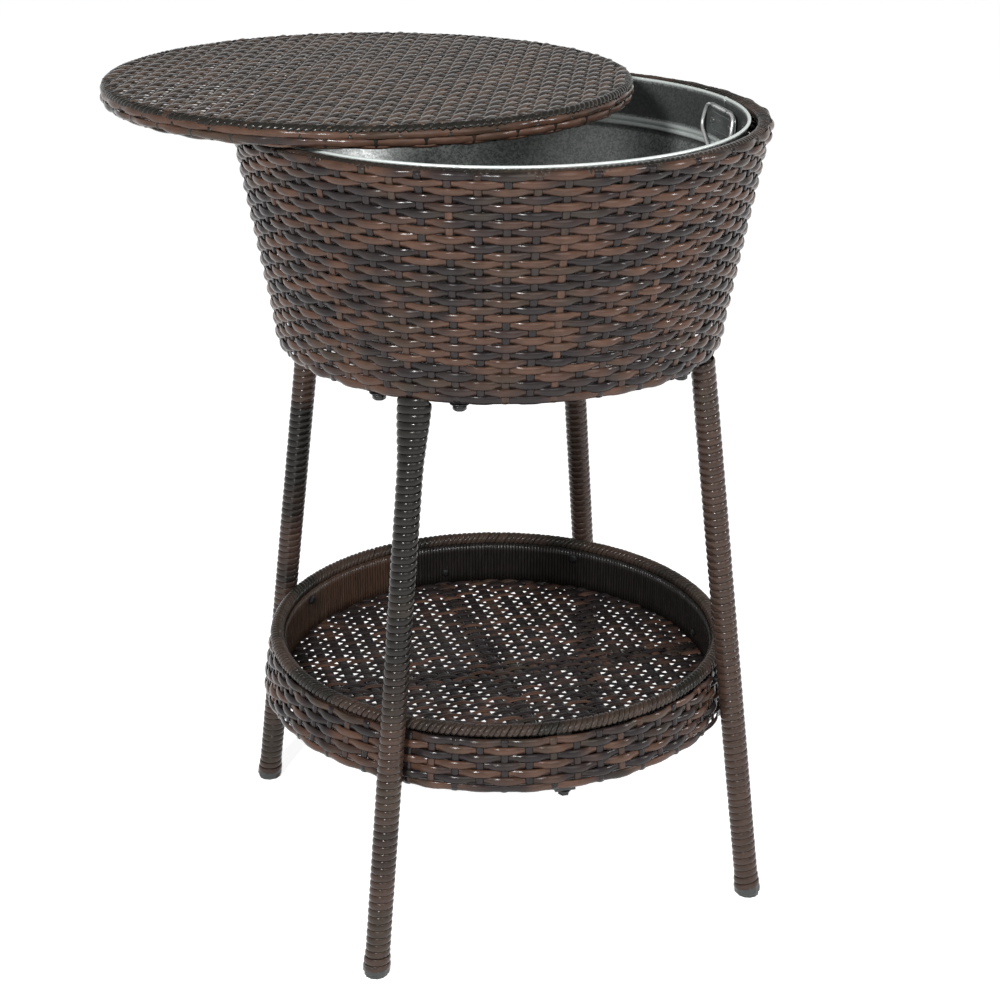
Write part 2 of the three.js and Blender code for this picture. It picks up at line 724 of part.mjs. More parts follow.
// Closed wire loop that hangs from its straight top bar
function handleLoop() {
  const half = loopShares.map(([across, down]) => new THREE.Vector2(handleHalfWidth * across, -handleReach * down));
  const other = half.map((point) => new THREE.Vector2(-point.x, point.y)).reverse();
  const path = [new THREE.Vector2(handleHalfWidth * loopShares[0][0] - wireRadius, 0), ...half,
    new THREE.Vector2(0, -handleReach), ...other,
    new THREE.Vector2(wireRadius - handleHalfWidth * loopShares[0][0], 0)];
  const points = [];
  const faces = [];
  for (let i = 0; i < path.length; i += 1) {
    const after = (i + 1) % path.length;
    const along = path[after].clone().sub(path[(i + path.length - 1) % path.length]).normalize();
    for (let j = 0; j < wireSides; j += 1) {
      const angle = fullTurn * j / wireSides;
      const out = wireRadius * Math.sin(angle);
      points.push(wireRadius * Math.cos(angle), path[i].x - along.y * out, path[i].y + along.x * out);
      const next = (j + 1) % wireSides;
      faces.push(i * wireSides + j, after * wireSides + j, after * wireSides + next);
      faces.push(i * wireSides + j, after * wireSides + next, i * wireSides + next);
    }
  }
  const geometry = new THREE.BufferGeometry();
  geometry.setAttribute("position", new THREE.Float32BufferAttribute(points, 3));
  geometry.setIndex(faces);
  return geometry.rotateY(handleLean * degree).translate(pivotRadius, 0, pivotHeight);
}

function rivet(side) {
  const length = plateThickness + seatGap + rivetTail;
  const profile = [[0, -rivetHeadHeight], [rivetHead * buttonFaceShare, -rivetHeadHeight],
    [rivetHead, -rivetHeadHeight * buttonEdgeShare], [rivetHead, 0],
    [rivetRadius, 0], [rivetRadius, length], [0, length]];
  return turned(profile, boreSides).rotateY(quarterTurn)
    .translate(plateFront - seatGap, side * rivetSpacing / 2, pivotHeight - rivetDrop);
}

for (let i = 0; i < handleCount; i += 1) {
  const number = i + 1;
  const ear = new THREE.Group();
  ear.rotation.z = (handleAngle + 360 * i / handleCount) * degree;
  table.add(ear);
  place(`handle_plate_${number}`, handlePlate(), galvanised, ear);
  place(`tub_handle_${number}`, handleLoop(), brightWire, ear);
  place(`handle_rivet_${number}a`, rivet(-1), galvanised, ear);
  place(`handle_rivet_${number}b`, rivet(1), galvanised, ear);
}

// Table top, lying on the rim and shifted to the back left
const top = new THREE.Group();
top.position.set(topShift * Math.cos(topShiftAngle * degree), topShift * Math.sin(topShiftAngle * degree), 0);
table.add(top);

const topRadius = tableTopDiameter / 2;
const topRingHeight = tableHeight - topWeaveThickness - seatGap - topRingRadius;
const topRingCentre = topRadius - topWeaveThickness - seatGap - topRingRadius;
const topFaceRadius = topRadius - topEdgeRound - seatGap;

function topFrame() {
  const bar = block(2 * topRingCentre, topBarWidth, topBarThickness, 0, 0, topUnderside + topBarThickness / 2);
  return joined([ring(topRingCentre, topRingHeight, topRingRadius),
    aroundUpright(bar, topShiftAngle), aroundUpright(bar, topShiftAngle + 90)]);
}

// Woven band round the edge, turned in under the ring between the bar ends
function topEdge() {
  const outer = topRadius;
  const inner = topRadius - topWeaveThickness;
  const outside = [[topFaceRadius + seatGap, tableHeight], [outer - topShoulder, tableHeight - topShoulder],
    [outer, tableHeight - topEdgeRound], [outer, topUnderside + topEdgeRound],
    [outer - topShoulder, topUnderside + topShoulder], [outer - topEdgeRound, topUnderside]];
  const inside = [[outer - topEdgeRound - topWeaveThickness / 2, topUnderside],
    [inner, topRingHeight - topRingRadius / 2],
    [inner, tableHeight - topWeaveThickness], [topFaceRadius + seatGap, tableHeight - topWeaveThickness]];
  return turned([...outside, ...inside, outside[0]]);
}

place("top_frame", topFrame(), painted, top);
place("top_weave", furrowed(drum(topFaceRadius, tableHeight - topWeaveThickness, tableHeight),
  topFaceRadius, tableHeight, topRowPitch, topRowAngle), woven, top);
place("top_edge_weave", topEdge(), woven, top);

// Stand the part on its own footprint, with the middle of its outline over the origin
const bounds = new THREE.Box3().setFromObject(table, true);
table.position.set(-(bounds.min.x + bounds.max.x) / 2, -(bounds.min.y + bounds.max.y) / 2, -bounds.min.z);

const part = new THREE.Group();
part.add(table);

export default part;
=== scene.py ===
"""Round wicker cooler table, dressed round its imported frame: strands, tub, handles, paint and stage."""
import math

import bpy
import numpy as np
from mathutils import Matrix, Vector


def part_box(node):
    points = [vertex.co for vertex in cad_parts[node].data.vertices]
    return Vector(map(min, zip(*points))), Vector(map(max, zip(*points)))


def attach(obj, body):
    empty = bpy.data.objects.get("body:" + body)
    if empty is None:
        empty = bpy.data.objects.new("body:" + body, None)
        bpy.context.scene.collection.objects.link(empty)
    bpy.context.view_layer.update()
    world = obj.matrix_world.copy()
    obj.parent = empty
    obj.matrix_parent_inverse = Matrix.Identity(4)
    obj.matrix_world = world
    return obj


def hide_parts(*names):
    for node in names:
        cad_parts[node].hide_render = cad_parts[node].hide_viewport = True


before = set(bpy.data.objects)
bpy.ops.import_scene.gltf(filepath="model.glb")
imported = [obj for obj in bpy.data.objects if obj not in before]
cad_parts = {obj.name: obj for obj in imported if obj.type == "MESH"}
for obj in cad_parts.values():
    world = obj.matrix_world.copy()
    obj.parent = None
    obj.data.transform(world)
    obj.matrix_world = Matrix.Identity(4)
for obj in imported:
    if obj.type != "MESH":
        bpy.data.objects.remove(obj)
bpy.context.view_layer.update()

bl_info = {
    "name": "Round wicker cooler table",
    "version": (1, 0, 0),
    "blender": (4, 5, 0),
    "location": "3D View > Sidebar > Cooler table",
    "description": "Builds the strands, tub, handles and stage of a round wicker cooler table",
    "category": "Object",
}

MM = 0.001
TURN = 2 * math.pi
EAST, NORTH, UP = np.eye(3)

# Legs: angle of the first, how far each foot trails its top, (radius, height) of the tops, radius of the feet
LEGS = 4
LEG_TURN = math.radians(-22.2)
LEG_TWIST = math.radians(2.6)
LEG_TOP = (204.6 * MM, 557.8 * MM)
LEG_FOOT_RADIUS = 281.7 * MM
TUBE_WIDTH = 19 * MM
# Wound leg: half its width, what the foot adds to that over a height, and how the top flattens over a length
LEG_HALF = 12.2 * MM
FOOT_SWELL, FOOT_HEIGHT = 1.3 * MM, 24 * MM
FLARE_IN, FLARE_OUT, FLARE_LENGTH = 0.8 * MM, 4.4 * MM, 70 * MM
# Curved bar on a leg's top, and the bolts through it at each side of the leg
BAR_RADIUS, BAR_WIDTH, BAR_THICKNESS = 198.5 * MM, 16.5 * MM, 3.2 * MM
BAR_REACH = math.radians(14.6)
BOLT_RADIUS, BOLT_TURN = 198.8 * MM, math.radians(11.3)
WASHER_RADIUS, HEXAGON_RADIUS = 9 * MM, 6.8 * MM
# Share of brown at the foot and at the top of the right, back right, back left and front left leg
LEG_BROWN = ((0.75, 0.85), (0.7, 0.9), (0.6, 0.35), (0.95, 0.02))


def disc(name):
    """Centre, radius, foot and top of a round CAD node, from its box in the frame."""
    low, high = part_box(name)
    return np.array([(low.x + high.x) / 2, (low.y + high.y) / 2]), (high.x - low.x) / 2, low.z, high.z


AXIS = disc("basket_rim_binding")[0]
TOP_CENTRE, TOP_RADIUS, _, TOP_HEIGHT = disc("top_weave")


def length(name, value, text):
    """A size in metres that the user may change."""
    return bpy.props.FloatProperty(name=name, description=text, default=value, min=0, precision=4,
                                   unit="LENGTH")


def angle(name, degrees, text):
    """An angle that the user may change."""
    return bpy.props.FloatProperty(name=name, description=text, default=math.radians(degrees),
                                   unit="ROTATION")


def colour(name, value, text):
    """A colour that the user may change."""
    return bpy.props.FloatVectorProperty(name=name, description=text, default=value, size=3, min=0, max=1,
                                         subtype="COLOR")


def whole(name, value, text):
    """A number of stakes that the user may change."""
    return bpy.props.IntProperty(name=name, description=text, default=value, min=3)


def amount(name, value, text, unit="NONE"):
    """A strength, a power or a focal length that the user may change."""
    return bpy.props.FloatProperty(name=name, description=text, default=value, min=0, unit=unit)


class StrandSizes(bpy.types.PropertyGroup):
    """Sizes of the wicker strands and of the patterns they make."""
    strand_width: length("Strand width", 0.0081, "Width of the flat strands that run along the rows")
    strand_thickness: length("Strand thickness", 0.0028, "Thickness of a flat strand")
    stake_width: length("Stake width", 0.0074, "Width of the strands that cross the rows")
    stake_thickness: length("Stake thickness", 0.0017, "Thickness of the strands that cross the rows")
    row_pitch: length("Row pitch", 0.00716, "Distance between two rows of the basket wall")
    basket_stakes: whole("Basket stakes", 62, "Stakes round the basket")
    tray_stakes: whole("Tray stakes", 64, "Stakes round the tray wall")
    tray_row_pitch: length("Tray row pitch", 0.0076, "Distance between two rows of the tray wall")
    top_pitch: length("Top row pitch", 0.00708, "Distance between two rows of the table top")
    top_spacing: length("Top stake spacing", 0.0213, "Distance between two stakes of the table top")
    top_angle: angle("Top weave angle", 66.1, "Direction of the rows of the table top")
    floor_pitch: length("Tray floor row pitch", 0.00735, "Distance between two rows of the tray floor")
    floor_spacing: length("Tray floor stake spacing", 0.01906, "Distance between stakes of the tray floor")
    floor_angle: angle("Tray floor weave angle", 15.5, "Direction of the rows of the tray floor")
    wrap_pitch: length("Rim wrap pitch", 0.0056, "Distance between two turns of the rim bindings")
    leg_pitch: length("Leg wrap pitch", 0.0073, "Distance between two turns of the leg wraps")
    edge_stakes: whole("Edge stakes", 74, "Stakes turned down round the table top")
    edge_pitch: length("Edge wrap pitch", 0.0071, "Distance between two strands wound over the edge")
    lining_pitch: length("Lining strand pitch", 0.0035, "Distance between two strands of the tray lining")


class TableFinishes(bpy.types.PropertyGroup):
    """Colours of the finishes."""
    charcoal: colour("Charcoal strand", (0.022, 0.017, 0.0175), "Dark end of a strand's colour drift")
    brown: colour("Brown strand", (0.090, 0.048, 0.033), "Warm end of a strand's colour drift")
    olive: colour("Olive strand", (0.043, 0.033, 0.024), "Greenish patches of the strands")
    binding: colour("Binding strand", (0.019, 0.017, 0.014), "Dark strands wound round the rims")
    zinc: colour("Galvanised sheet", (0.25, 0.27, 0.26), "Zinc of the tub")
    wire: colour("Bright wire", (0.82, 0.83, 0.82), "Wire of the tub's handles")
    paint: colour("Black paint", (0.016, 0.016, 0.017), "Paint of the steel frame and bolts")
    plastic: colour("Slate plastic", (0.032, 0.036, 0.035), "Plastic of the foot caps")


class StageSettings(bpy.types.PropertyGroup):
    """Light and floor."""
    floor: colour("Floor", (0.93, 0.93, 0.93), "Colour of the floor")
    floor_glow: amount("Floor glow", 0.83, "White that the camera sees on the floor")
    sky_strength: amount("Sky strength", 0.16, "Strength of the soft light all round")
    ceiling: amount("Ceiling", 0.22, "Brightness of the studio above the white backdrop")
    key_power: amount("Key light", 24, "Power of the broad lamp in front", "POWER")
    spark_power: amount("Spark light", 62, "Power of the small lamp at the left", "POWER")
    side_power: amount("Side light", 18, "Power of the lamp at the right", "POWER")
    lens: amount("Lens", 70.63, "Focal length in millimetres")
    tilt: angle("Camera tilt", 22.19, "How far the camera looks down")


# Mesh building: the unevenness of the strands, their sections, and surfaces as whole arrays

# Unevenness of a strand: slow sway of a row, scatter at each crossing, and scatter of its roll in radians
SWAY = 0.2 * MM
SCATTER = 0.12 * MM
ROLL = 0.09
# Samples of a row from one stake to the next
STEPS_APART = 6

# Sections of a strand, as shares of half its width and half its thickness: flat, cushioned and round
STRAND = np.array([(-1, -0.3), (-0.72, 0.38), (-0.36, 0.84), (0, 1), (0.36, 0.84), (0.72, 0.38), (1, -0.3),
                   (0, -0.9)])
CUSHION = np.array([(-1, -0.2), (-0.8, 0.42), (-0.42, 0.86), (0, 1), (0.42, 0.86), (0.8, 0.42), (1, -0.2),
                    (0, -0.9)])
ROUND = np.array([(-math.cos(a), math.sin(a)) for a in np.arange(8) * TURN / 8])


def unit(vectors):
    """Each vector divided by its own length."""
    return vectors / np.maximum(np.linalg.norm(vectors, axis=-1, keepdims=True), 1e-12)


def columns(*values):
    """Arrays side by side as the columns of one array, each first repeated to the shape that they share."""
    return np.stack(np.broadcast_arrays(*values), -1)


def turned_xy(radius, angles, height, centre=AXIS):
    """Points at a radius, an angle and a height about an upright line: x = cx + r cos a, y = cy + r sin a."""
    return columns(centre[0] + radius * np.cos(angles), centre[1] + radius * np.sin(angles), height)


def turned_out(out, angles, rise):
    """Directions that point out by one share and up by another, at an angle about an upright line."""
    return columns(out * np.cos(angles), out * np.sin(angles), rise)


def over_under(steps):
    """Height of a strand that goes over and under its neighbours, from -1 to 1: 1.5 c - 0.5 c^3 with
    c = cos(pi t), where t counts the crossed strands."""
    wave = np.cos(math.pi * steps)
    return wave * (1.5 - 0.5 * wave * wave)


def wander(rng, strands, samples, waves=5):
    """Slow random waviness along each strand, about -1 to 1: a sum of sines of random phase."""
    at = np.linspace(0, TURN, samples, endpoint=False)[None, :, None]
    count = np.arange(1, waves + 1)[None, None, :] * 2
    phase = rng.uniform(0, TURN, (strands, 1, waves))
    size = rng.uniform(0.3, 1, (strands, 1, waves)) / math.sqrt(waves)
    return (np.sin(at * count + phase) * size).sum(-1)


def per_crossing(rng, rows, stakes, spread):
    """A random value at each crossing, carried smoothly to the samples between: a + (b - a) t^2 (3 - 2 t)."""
    values = rng.normal(0, spread, (rows, stakes))
    after = np.roll(values, -1, 1)
    share = np.arange(STEPS_APART) / STEPS_APART
    share = share * share * (3 - 2 * share)
    return (values[:, :, None] + (after - values)[:, :, None] * share).reshape(rows, -1)


def ring_faces(rings, sides, closed=False):
    """Four-cornered faces between rings of vertices, each ring joined to the next and closed on itself."""
    i = np.arange(rings if closed else rings - 1)[:, None]
    k = np.arange(sides)[None, :]
    after, right = (i + 1) % rings, (k + 1) % sides
    return columns(i * sides + k, after * sides + k, after * sides + right, i * sides + right).reshape(-1, 4)


def corner_uvs(u0, u1, v0, v1):
    """UVs of the corners of such faces from the u and v of their sides."""
    corners = ((u0, v0), (u1, v0), (u1, v1), (u0, v1))
    return np.stack([columns(u, v) for u, v in corners], -2).reshape(-1, 4, 2)


def rounded(corners, radius, steps=5):
    """Outline of a polygon with rounded corners: each arc is the curve b + (a - b)(1 - t)^2 + (c - b) t^2."""
    corners = np.asarray(corners, float)
    share = np.linspace(0, 1, steps)[:, None]
    before, after = np.roll(corners, 1, 0), np.roll(corners, -1, 0)
    return np.concatenate([b + unit(a - b) * radius * (1 - share) ** 2 + unit(c - b) * radius * share ** 2
                           for a, b, c in zip(before, corners, after)])


def linked(name, data):
    """New object in the scene, made from its data."""
    obj = bpy.data.objects.new(name, data)
    bpy.context.scene.collection.objects.link(obj)
    return obj


class Batch:
    """Vertices, faces and UVs of one piece, gathered from several surfaces."""

    def __init__(self):
        self.points, self.faces, self.uvs, self.count = [], [], [], 0

    def add(self, points, *surfaces):
        """points (n, 3), and for each surface the faces (m, sides) into them with their uvs (m, sides, 2)."""
        for faces, uvs in surfaces:
            self.faces.append(faces + self.count)
            self.uvs.append(uvs)
        self.points.append(points)
        self.count += len(points)

    def strands(self, points, outward, width, thickness, loop=False, section=STRAND, starts=None, rows=None):
        """Tubes of one section along many paths at once. A vertex is its path point, plus the unit vector
        across by half the width, plus the one outwards by half the thickness, each times the section's point.
        The UV is the length along the strand in metres, and its row number plus the share round the
        section."""
        strands, samples = points.shape[:2]
        if loop:
            along = np.roll(points, -1, 1) - np.roll(points, 1, 1)
            step = np.linalg.norm(np.roll(points, -1, 1) - points, axis=-1)
        else:
            along = np.gradient(points, axis=1)
            step = np.linalg.norm(np.diff(points, axis=1), axis=-1)
        along = unit(along)
        across = unit(np.cross(outward, along))
        out = np.cross(along, across)
        half_width = np.broadcast_to(np.asarray(width) / 2, (strands, samples))[..., None, None]
        half_depth = np.broadcast_to(np.asarray(thickness) / 2, (strands, samples))[..., None, None]
        grid = (points[:, :, None] + across[:, :, None] * half_width * section[:, :1]
                + out[:, :, None] * half_depth * section[:, 1:])
        starts = np.zeros(strands) if starts is None else np.asarray(starts, float)
        rows = np.arange(strands) if rows is None else np.asarray(rows)
        reach = np.concatenate([np.zeros((strands, 1)), np.cumsum(step, axis=1)], axis=1) + starts[:, None]
        sides = len(section)
        k = np.arange(sides)
        first = np.arange(strands)[:, None] * samples * sides
        faces = (first[..., None] + ring_faces(samples, sides, loop)).reshape(-1, 4)
        lane = rows[:, None, None] + k * 0.96 / sides
        surfaces = [(faces, corner_uvs(reach[:, :-1, None], reach[:, 1:, None], lane, lane + 0.96 / sides))]
        if not loop:
            last = first + (samples - 1) * sides
            for ends, reached in ((first + k, reach[:, 0]), (last + k[::-1], reach[:, -1])):
                surfaces.append((ends, columns(reached[:, None], rows[:, None] + 0.5 + 0 * k)))
        self.add(grid.reshape(-1, 3), *surfaces)

    def revolved(self, profile, sides):
        """Surface of revolution: a profile of (radius, height) carried round the table's middle line. A point
        on that line closes the surface. Faces out when the profile runs with the solid on its left."""
        turns = np.arange(sides)[None, :] * TURN / sides
        grid = turned_xy(profile[:, :1], turns, profile[:, 1:])
        faces = ring_faces(len(profile), sides)[:, [0, 3, 2, 1]]
        lengths = np.append(0, np.cumsum(np.linalg.norm(np.diff(profile, axis=0), axis=1)))[:, None]
        uvs = corner_uvs(turns * 0.2, (turns + TURN / sides) * 0.2, lengths[:-1], lengths[1:])
        self.add(grid.reshape(-1, 3), (faces, uvs))

    def shell(self, points, sides, turned=False):
        """Rings of vertices joined and closed at both ends. Turned when they run towards their own back."""
        rings = len(points) // sides
        faces, k = ring_faces(rings, sides), np.arange(sides)
        ends = np.stack([k, (rings - 1) * sides + k[::-1]])
        if turned:
            faces, ends = faces[:, [0, 3, 2, 1]], ends[:, ::-1]
        self.add(points, *((part, np.zeros((*part.shape, 2))) for part in (faces, ends)))

    def slab(self, place, across, upward, outward, outline, layers):
        """Plate with one outline, closed at both ends. A layer is (distance outwards, inset), front first."""
        centre = outline.mean(0)
        size = np.linalg.norm(outline - centre, axis=1, keepdims=True)
        rings = []
        for reach, inset in layers:
            flat = centre + (outline - centre) * (1 - inset / size)
            rings.append(place + flat[:, :1] * across + flat[:, 1:] * upward + reach * outward)
        self.shell(np.concatenate(rings), len(outline))

    def dome(self, centre, axis, aside, radius, height, sides=24, rings=6):
        """Round head: r = R cos a, h = H sin a, with a from 0 to nearly a right angle, closed at its foot."""
        other = np.cross(axis, aside)
        rise = np.radians(np.linspace(0, 84, rings))
        turn = np.arange(sides) * TURN / sides
        circle = np.cos(turn)[:, None] * aside + np.sin(turn)[:, None] * other
        points = (centre + circle[None] * (radius * np.cos(rise))[:, None, None]
                  + axis * (height * np.sin(rise))[:, None, None]).reshape(-1, 3)
        self.shell(points, sides, turned=True)

    def piece(self, name, material, body, slot, nodes):
        """Makes the object, rides it on its body and lets it stand for its CAD nodes."""
        points = np.concatenate(self.points)
        corners = np.concatenate([f.ravel() for f in self.faces])
        totals = np.concatenate([np.full(len(f), f.shape[1]) for f in self.faces])
        starts = np.concatenate([[0], np.cumsum(totals)[:-1]])
        uvs = np.concatenate([u.ravel() for u in self.uvs])
        mesh = bpy.data.meshes.new(name)
        mesh.vertices.add(len(points))
        mesh.vertices.foreach_set("co", points.astype(np.float32).ravel())
        mesh.loops.add(len(corners))
        mesh.loops.foreach_set("vertex_index", corners.astype(np.int32))
        mesh.polygons.add(len(totals))
        mesh.polygons.foreach_set("loop_start", starts.astype(np.int32))
        mesh.update(calc_edges=True)
        mesh.uv_layers.new(name="strand").data.foreach_set("uv", uvs.astype(np.float32))
        mesh.shade_smooth()
        mesh.materials.append(material)
        obj = linked(name, mesh)
        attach(obj, body)
        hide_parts(*nodes)


# Material building: a helper that wires nodes, the colours of a strand, and the finishes

class Nodes:
    """Adds nodes to a node tree and wires their sockets."""

    def __init__(self, tree):
        self.tree = tree

    def wire(self, node, inputs):
        """Fills a node's inputs. inputs maps a socket's name or number to a value or to a socket."""
        for key, value in inputs.items():
            if isinstance(value, bpy.types.NodeSocket):
                self.tree.links.new(value, node.inputs[key])
            else:
                node.inputs[key].default_value = value

    def add(self, kind, inputs=None, **settings):
        """Adds a node with its settings and inputs."""
        node = self.tree.nodes.new(kind)
        for key, value in settings.items():
            setattr(node, key, value)
        self.wire(node, inputs or {})
        return node

    def math(self, operation, first, second=0.0, third=0.0):
        """Result of one sum."""
        return self.add("ShaderNodeMath", {0: first, 1: second, 2: third}, operation=operation).outputs[0]

    def mix(self, share, first, second):
        """Mix of two colours."""
        return self.add("ShaderNodeMix", {0: share, 6: first, 7: second}, data_type="RGBA").outputs[2]

    def ranged(self, value, low, high, to_low=0.0, to_high=1.0, curve="SMOOTHSTEP"):
        """Value carried from one range to another."""
        return self.add("ShaderNodeMapRange", {0: value, 1: low, 2: high, 3: to_low, 4: to_high},
                        interpolation_type=curve).outputs[0]

    def noise(self, vector, scale, detail=2.0, roughness=0.5):
        """Noise value at a place."""
        return self.add("ShaderNodeTexNoise", {"Vector": vector, "Scale": scale, "Detail": detail,
                                               "Roughness": roughness}).outputs[0]

    def noise_at(self, x, y, z, *detail):
        """Noise value at a place given by three values."""
        return self.noise(self.add("ShaderNodeCombineXYZ", {0: x, 1: y, 2: z}).outputs[0], 1.0, *detail)

    def parts(self, vector):
        """The three values of a vector or colour."""
        return self.add("ShaderNodeSeparateXYZ", {0: vector}).outputs

    def object_place(self):
        """Object coordinates."""
        return self.add("ShaderNodeTexCoord").outputs["Object"]

    def bumped(self, height, distance, strength):
        """Normal of a surface raised by a height."""
        raised = {"Height": height, "Distance": distance, "Strength": strength}
        return self.add("ShaderNodeBump", raised).outputs[0]


def strand_group():
    """Colour, roughness and height of a wicker strand from its UV: colours that drift along it, fine ribs."""
    known = bpy.data.node_groups.get("strand_finish")
    if known:
        return known
    tree = bpy.data.node_groups.new("strand_finish", "ShaderNodeTree")
    for way, kind, names in (("INPUT", "Vector", ["Strand"]), ("INPUT", "Color", ["Dark", "Warm", "Olive"]),
                             ("INPUT", "Float", ["Drift", "Warm share", "Seed"]),
                             ("OUTPUT", "Color", ["Color"]), ("OUTPUT", "Float", ["Roughness", "Height"])):
        for name in names:
            tree.interface.new_socket(name, in_out=way, socket_type="NodeSocket" + kind)
    nodes = Nodes(tree)
    given = nodes.add("NodeGroupInput").outputs
    along, across = nodes.parts(given["Strand"])[:2]
    row, share = nodes.math("FLOOR", across), nodes.math("FRACT", across)
    slow = nodes.math("MULTIPLY", along, given["Drift"])
    lane = nodes.math("MULTIPLY_ADD", row, 7.31, given["Seed"])
    drift = nodes.noise_at(slow, lane, given["Seed"], 2.0, 0.55)
    above_half = nodes.math("SUBTRACT", given["Warm share"], 0.5)
    edge = nodes.math("SUBTRACT", 0.5, nodes.math("MULTIPLY", above_half, 0.5))
    warm = nodes.ranged(drift, nodes.math("SUBTRACT", edge, 0.075), nodes.math("ADD", edge, 0.075))
    base = nodes.mix(warm, given["Dark"], given["Warm"])
    green = nodes.noise_at(nodes.math("MULTIPLY", slow, 1.6), nodes.math("ADD", lane, 61.7), 3.3)
    base = nodes.mix(nodes.ranged(green, 0.54, 0.68, 0.0, 0.6), base, given["Olive"])
    mottle = nodes.noise_at(nodes.math("MULTIPLY", along, 55.0), nodes.math("MULTIPLY_ADD", share, 2.0, lane),
                            1.7, 3.0, 0.6)
    ribs = nodes.math("MULTIPLY_ADD", share, 26.0, nodes.math("MULTIPLY", lane, 9.0))
    streak = nodes.noise_at(nodes.math("MULTIPLY", along, 12.0), ribs, 4.1, 1.0)
    tone = nodes.math("MULTIPLY", nodes.ranged(mottle, 0.25, 0.75, 0.78, 1.24),
                      nodes.ranged(streak, 0.3, 0.7, 0.86, 1.12))
    shade = nodes.add("ShaderNodeVectorMath", {0: base, "Scale": tone}, operation="SCALE").outputs[0]
    nodes.add("NodeGroupOutput", {
        "Color": shade, "Roughness": nodes.ranged(mottle, 0.3, 0.7, 0.15, 0.25),
        "Height": nodes.math("MULTIPLY_ADD", streak, 0.7, nodes.math("MULTIPLY", mottle, 0.3))})
    return tree


def bare_material(name):
    """New material with only a Principled BSDF: the material, its node helper and its shader."""
    material = bpy.data.materials.new(name)
    material.use_nodes = True
    material.node_tree.nodes.clear()
    nodes = Nodes(material.node_tree)
    shader = nodes.add("ShaderNodeBsdfPrincipled")
    nodes.add("ShaderNodeOutputMaterial", {0: shader.outputs[0]})
    return material, nodes, shader


def opaque(value):
    """Colour with full alpha, no brighter than white."""
    return (*np.minimum(value, 1), 1.0)


def wicker(name, dark=None, warm=None, olive=None, drift=9.0, share=0.5, seed=0.0, bump=0.00012, gloss=0.2,
           brown=None):
    """Material of a flat plastic wicker strand. drift is how fast its colour changes along it, share is the
    share of warm strand, and brown makes that share run evenly along an axis of the object: (axis, from, to,
    share at the first, share at the second)."""
    found = bpy.data.materials.get(name)
    if found:
        return found
    finish = bpy.context.scene.table_finishes
    material, nodes, shader = bare_material(name)
    if brown:
        share = nodes.ranged(nodes.parts(nodes.object_place())[brown[0]], *brown[1:], curve="LINEAR")
    effect = nodes.add("ShaderNodeGroup", node_tree=strand_group())
    nodes.wire(effect, {
        "Strand": nodes.add("ShaderNodeUVMap", uv_map="strand").outputs[0],
        "Dark": opaque(dark or finish.charcoal), "Warm": opaque(warm or finish.brown),
        "Olive": opaque(olive or finish.olive), "Drift": drift, "Warm share": share, "Seed": seed})
    made = effect.outputs
    nodes.wire(shader, {"Base Color": made["Color"], "Roughness": made["Roughness"],
                        "Normal": nodes.bumped(made["Height"], bump, 0.6), "Specular IOR Level": gloss})
    return material


def lining_wicker():
    """Strand of the tray's lining: brown at the left, nearly black elsewhere."""
    return wicker("lining_strand", dark=(0.014, 0.012, 0.011), warm=(0.052, 0.030, 0.021), drift=0.8,
                  seed=3.0, brown=(0, -0.09, -0.01, 0.97, 0.06))


def leg_wicker(leg):
    """Strand of one leg, with its own share of brown at the foot and at the top."""
    return wicker(f"leg_strand_{leg + 1}", dark=(0.0135, 0.012, 0.0105), warm=(0.056, 0.034, 0.026),
                  drift=1.1, seed=5.0 + 3.0 * leg, bump=0.00005, gloss=0.22,
                  brown=(2, 0.0, 0.56, *LEG_BROWN[leg]))


# Painted reflected light: two lighter patches of glare on the tub's inner wall: (centre, reach)
ZINC_PAINTED_GLARE = (((0.153, 0.172, 0.68), 0.085), ((-0.114, 0.115, 0.69), 0.12))
# Bands of painted shade and painted highlight on the tub: (from height, to height, share, tone times the
# zinc)
# Painted shade on the neck under the rim and a painted shadow under the ledge; painted highlight on the
# ledge's bead and the rolled rim
ZINC_PAINTED_SHADE_AND_HIGHLIGHT = ((0.738, 0.7715, 0.78, 0.2), (0.7225, 0.7265, 0.7, 0.2), (0.7275, 0.736, 0.8, 3.1),
              (0.7735, 0.79, 1.0, 3.6))


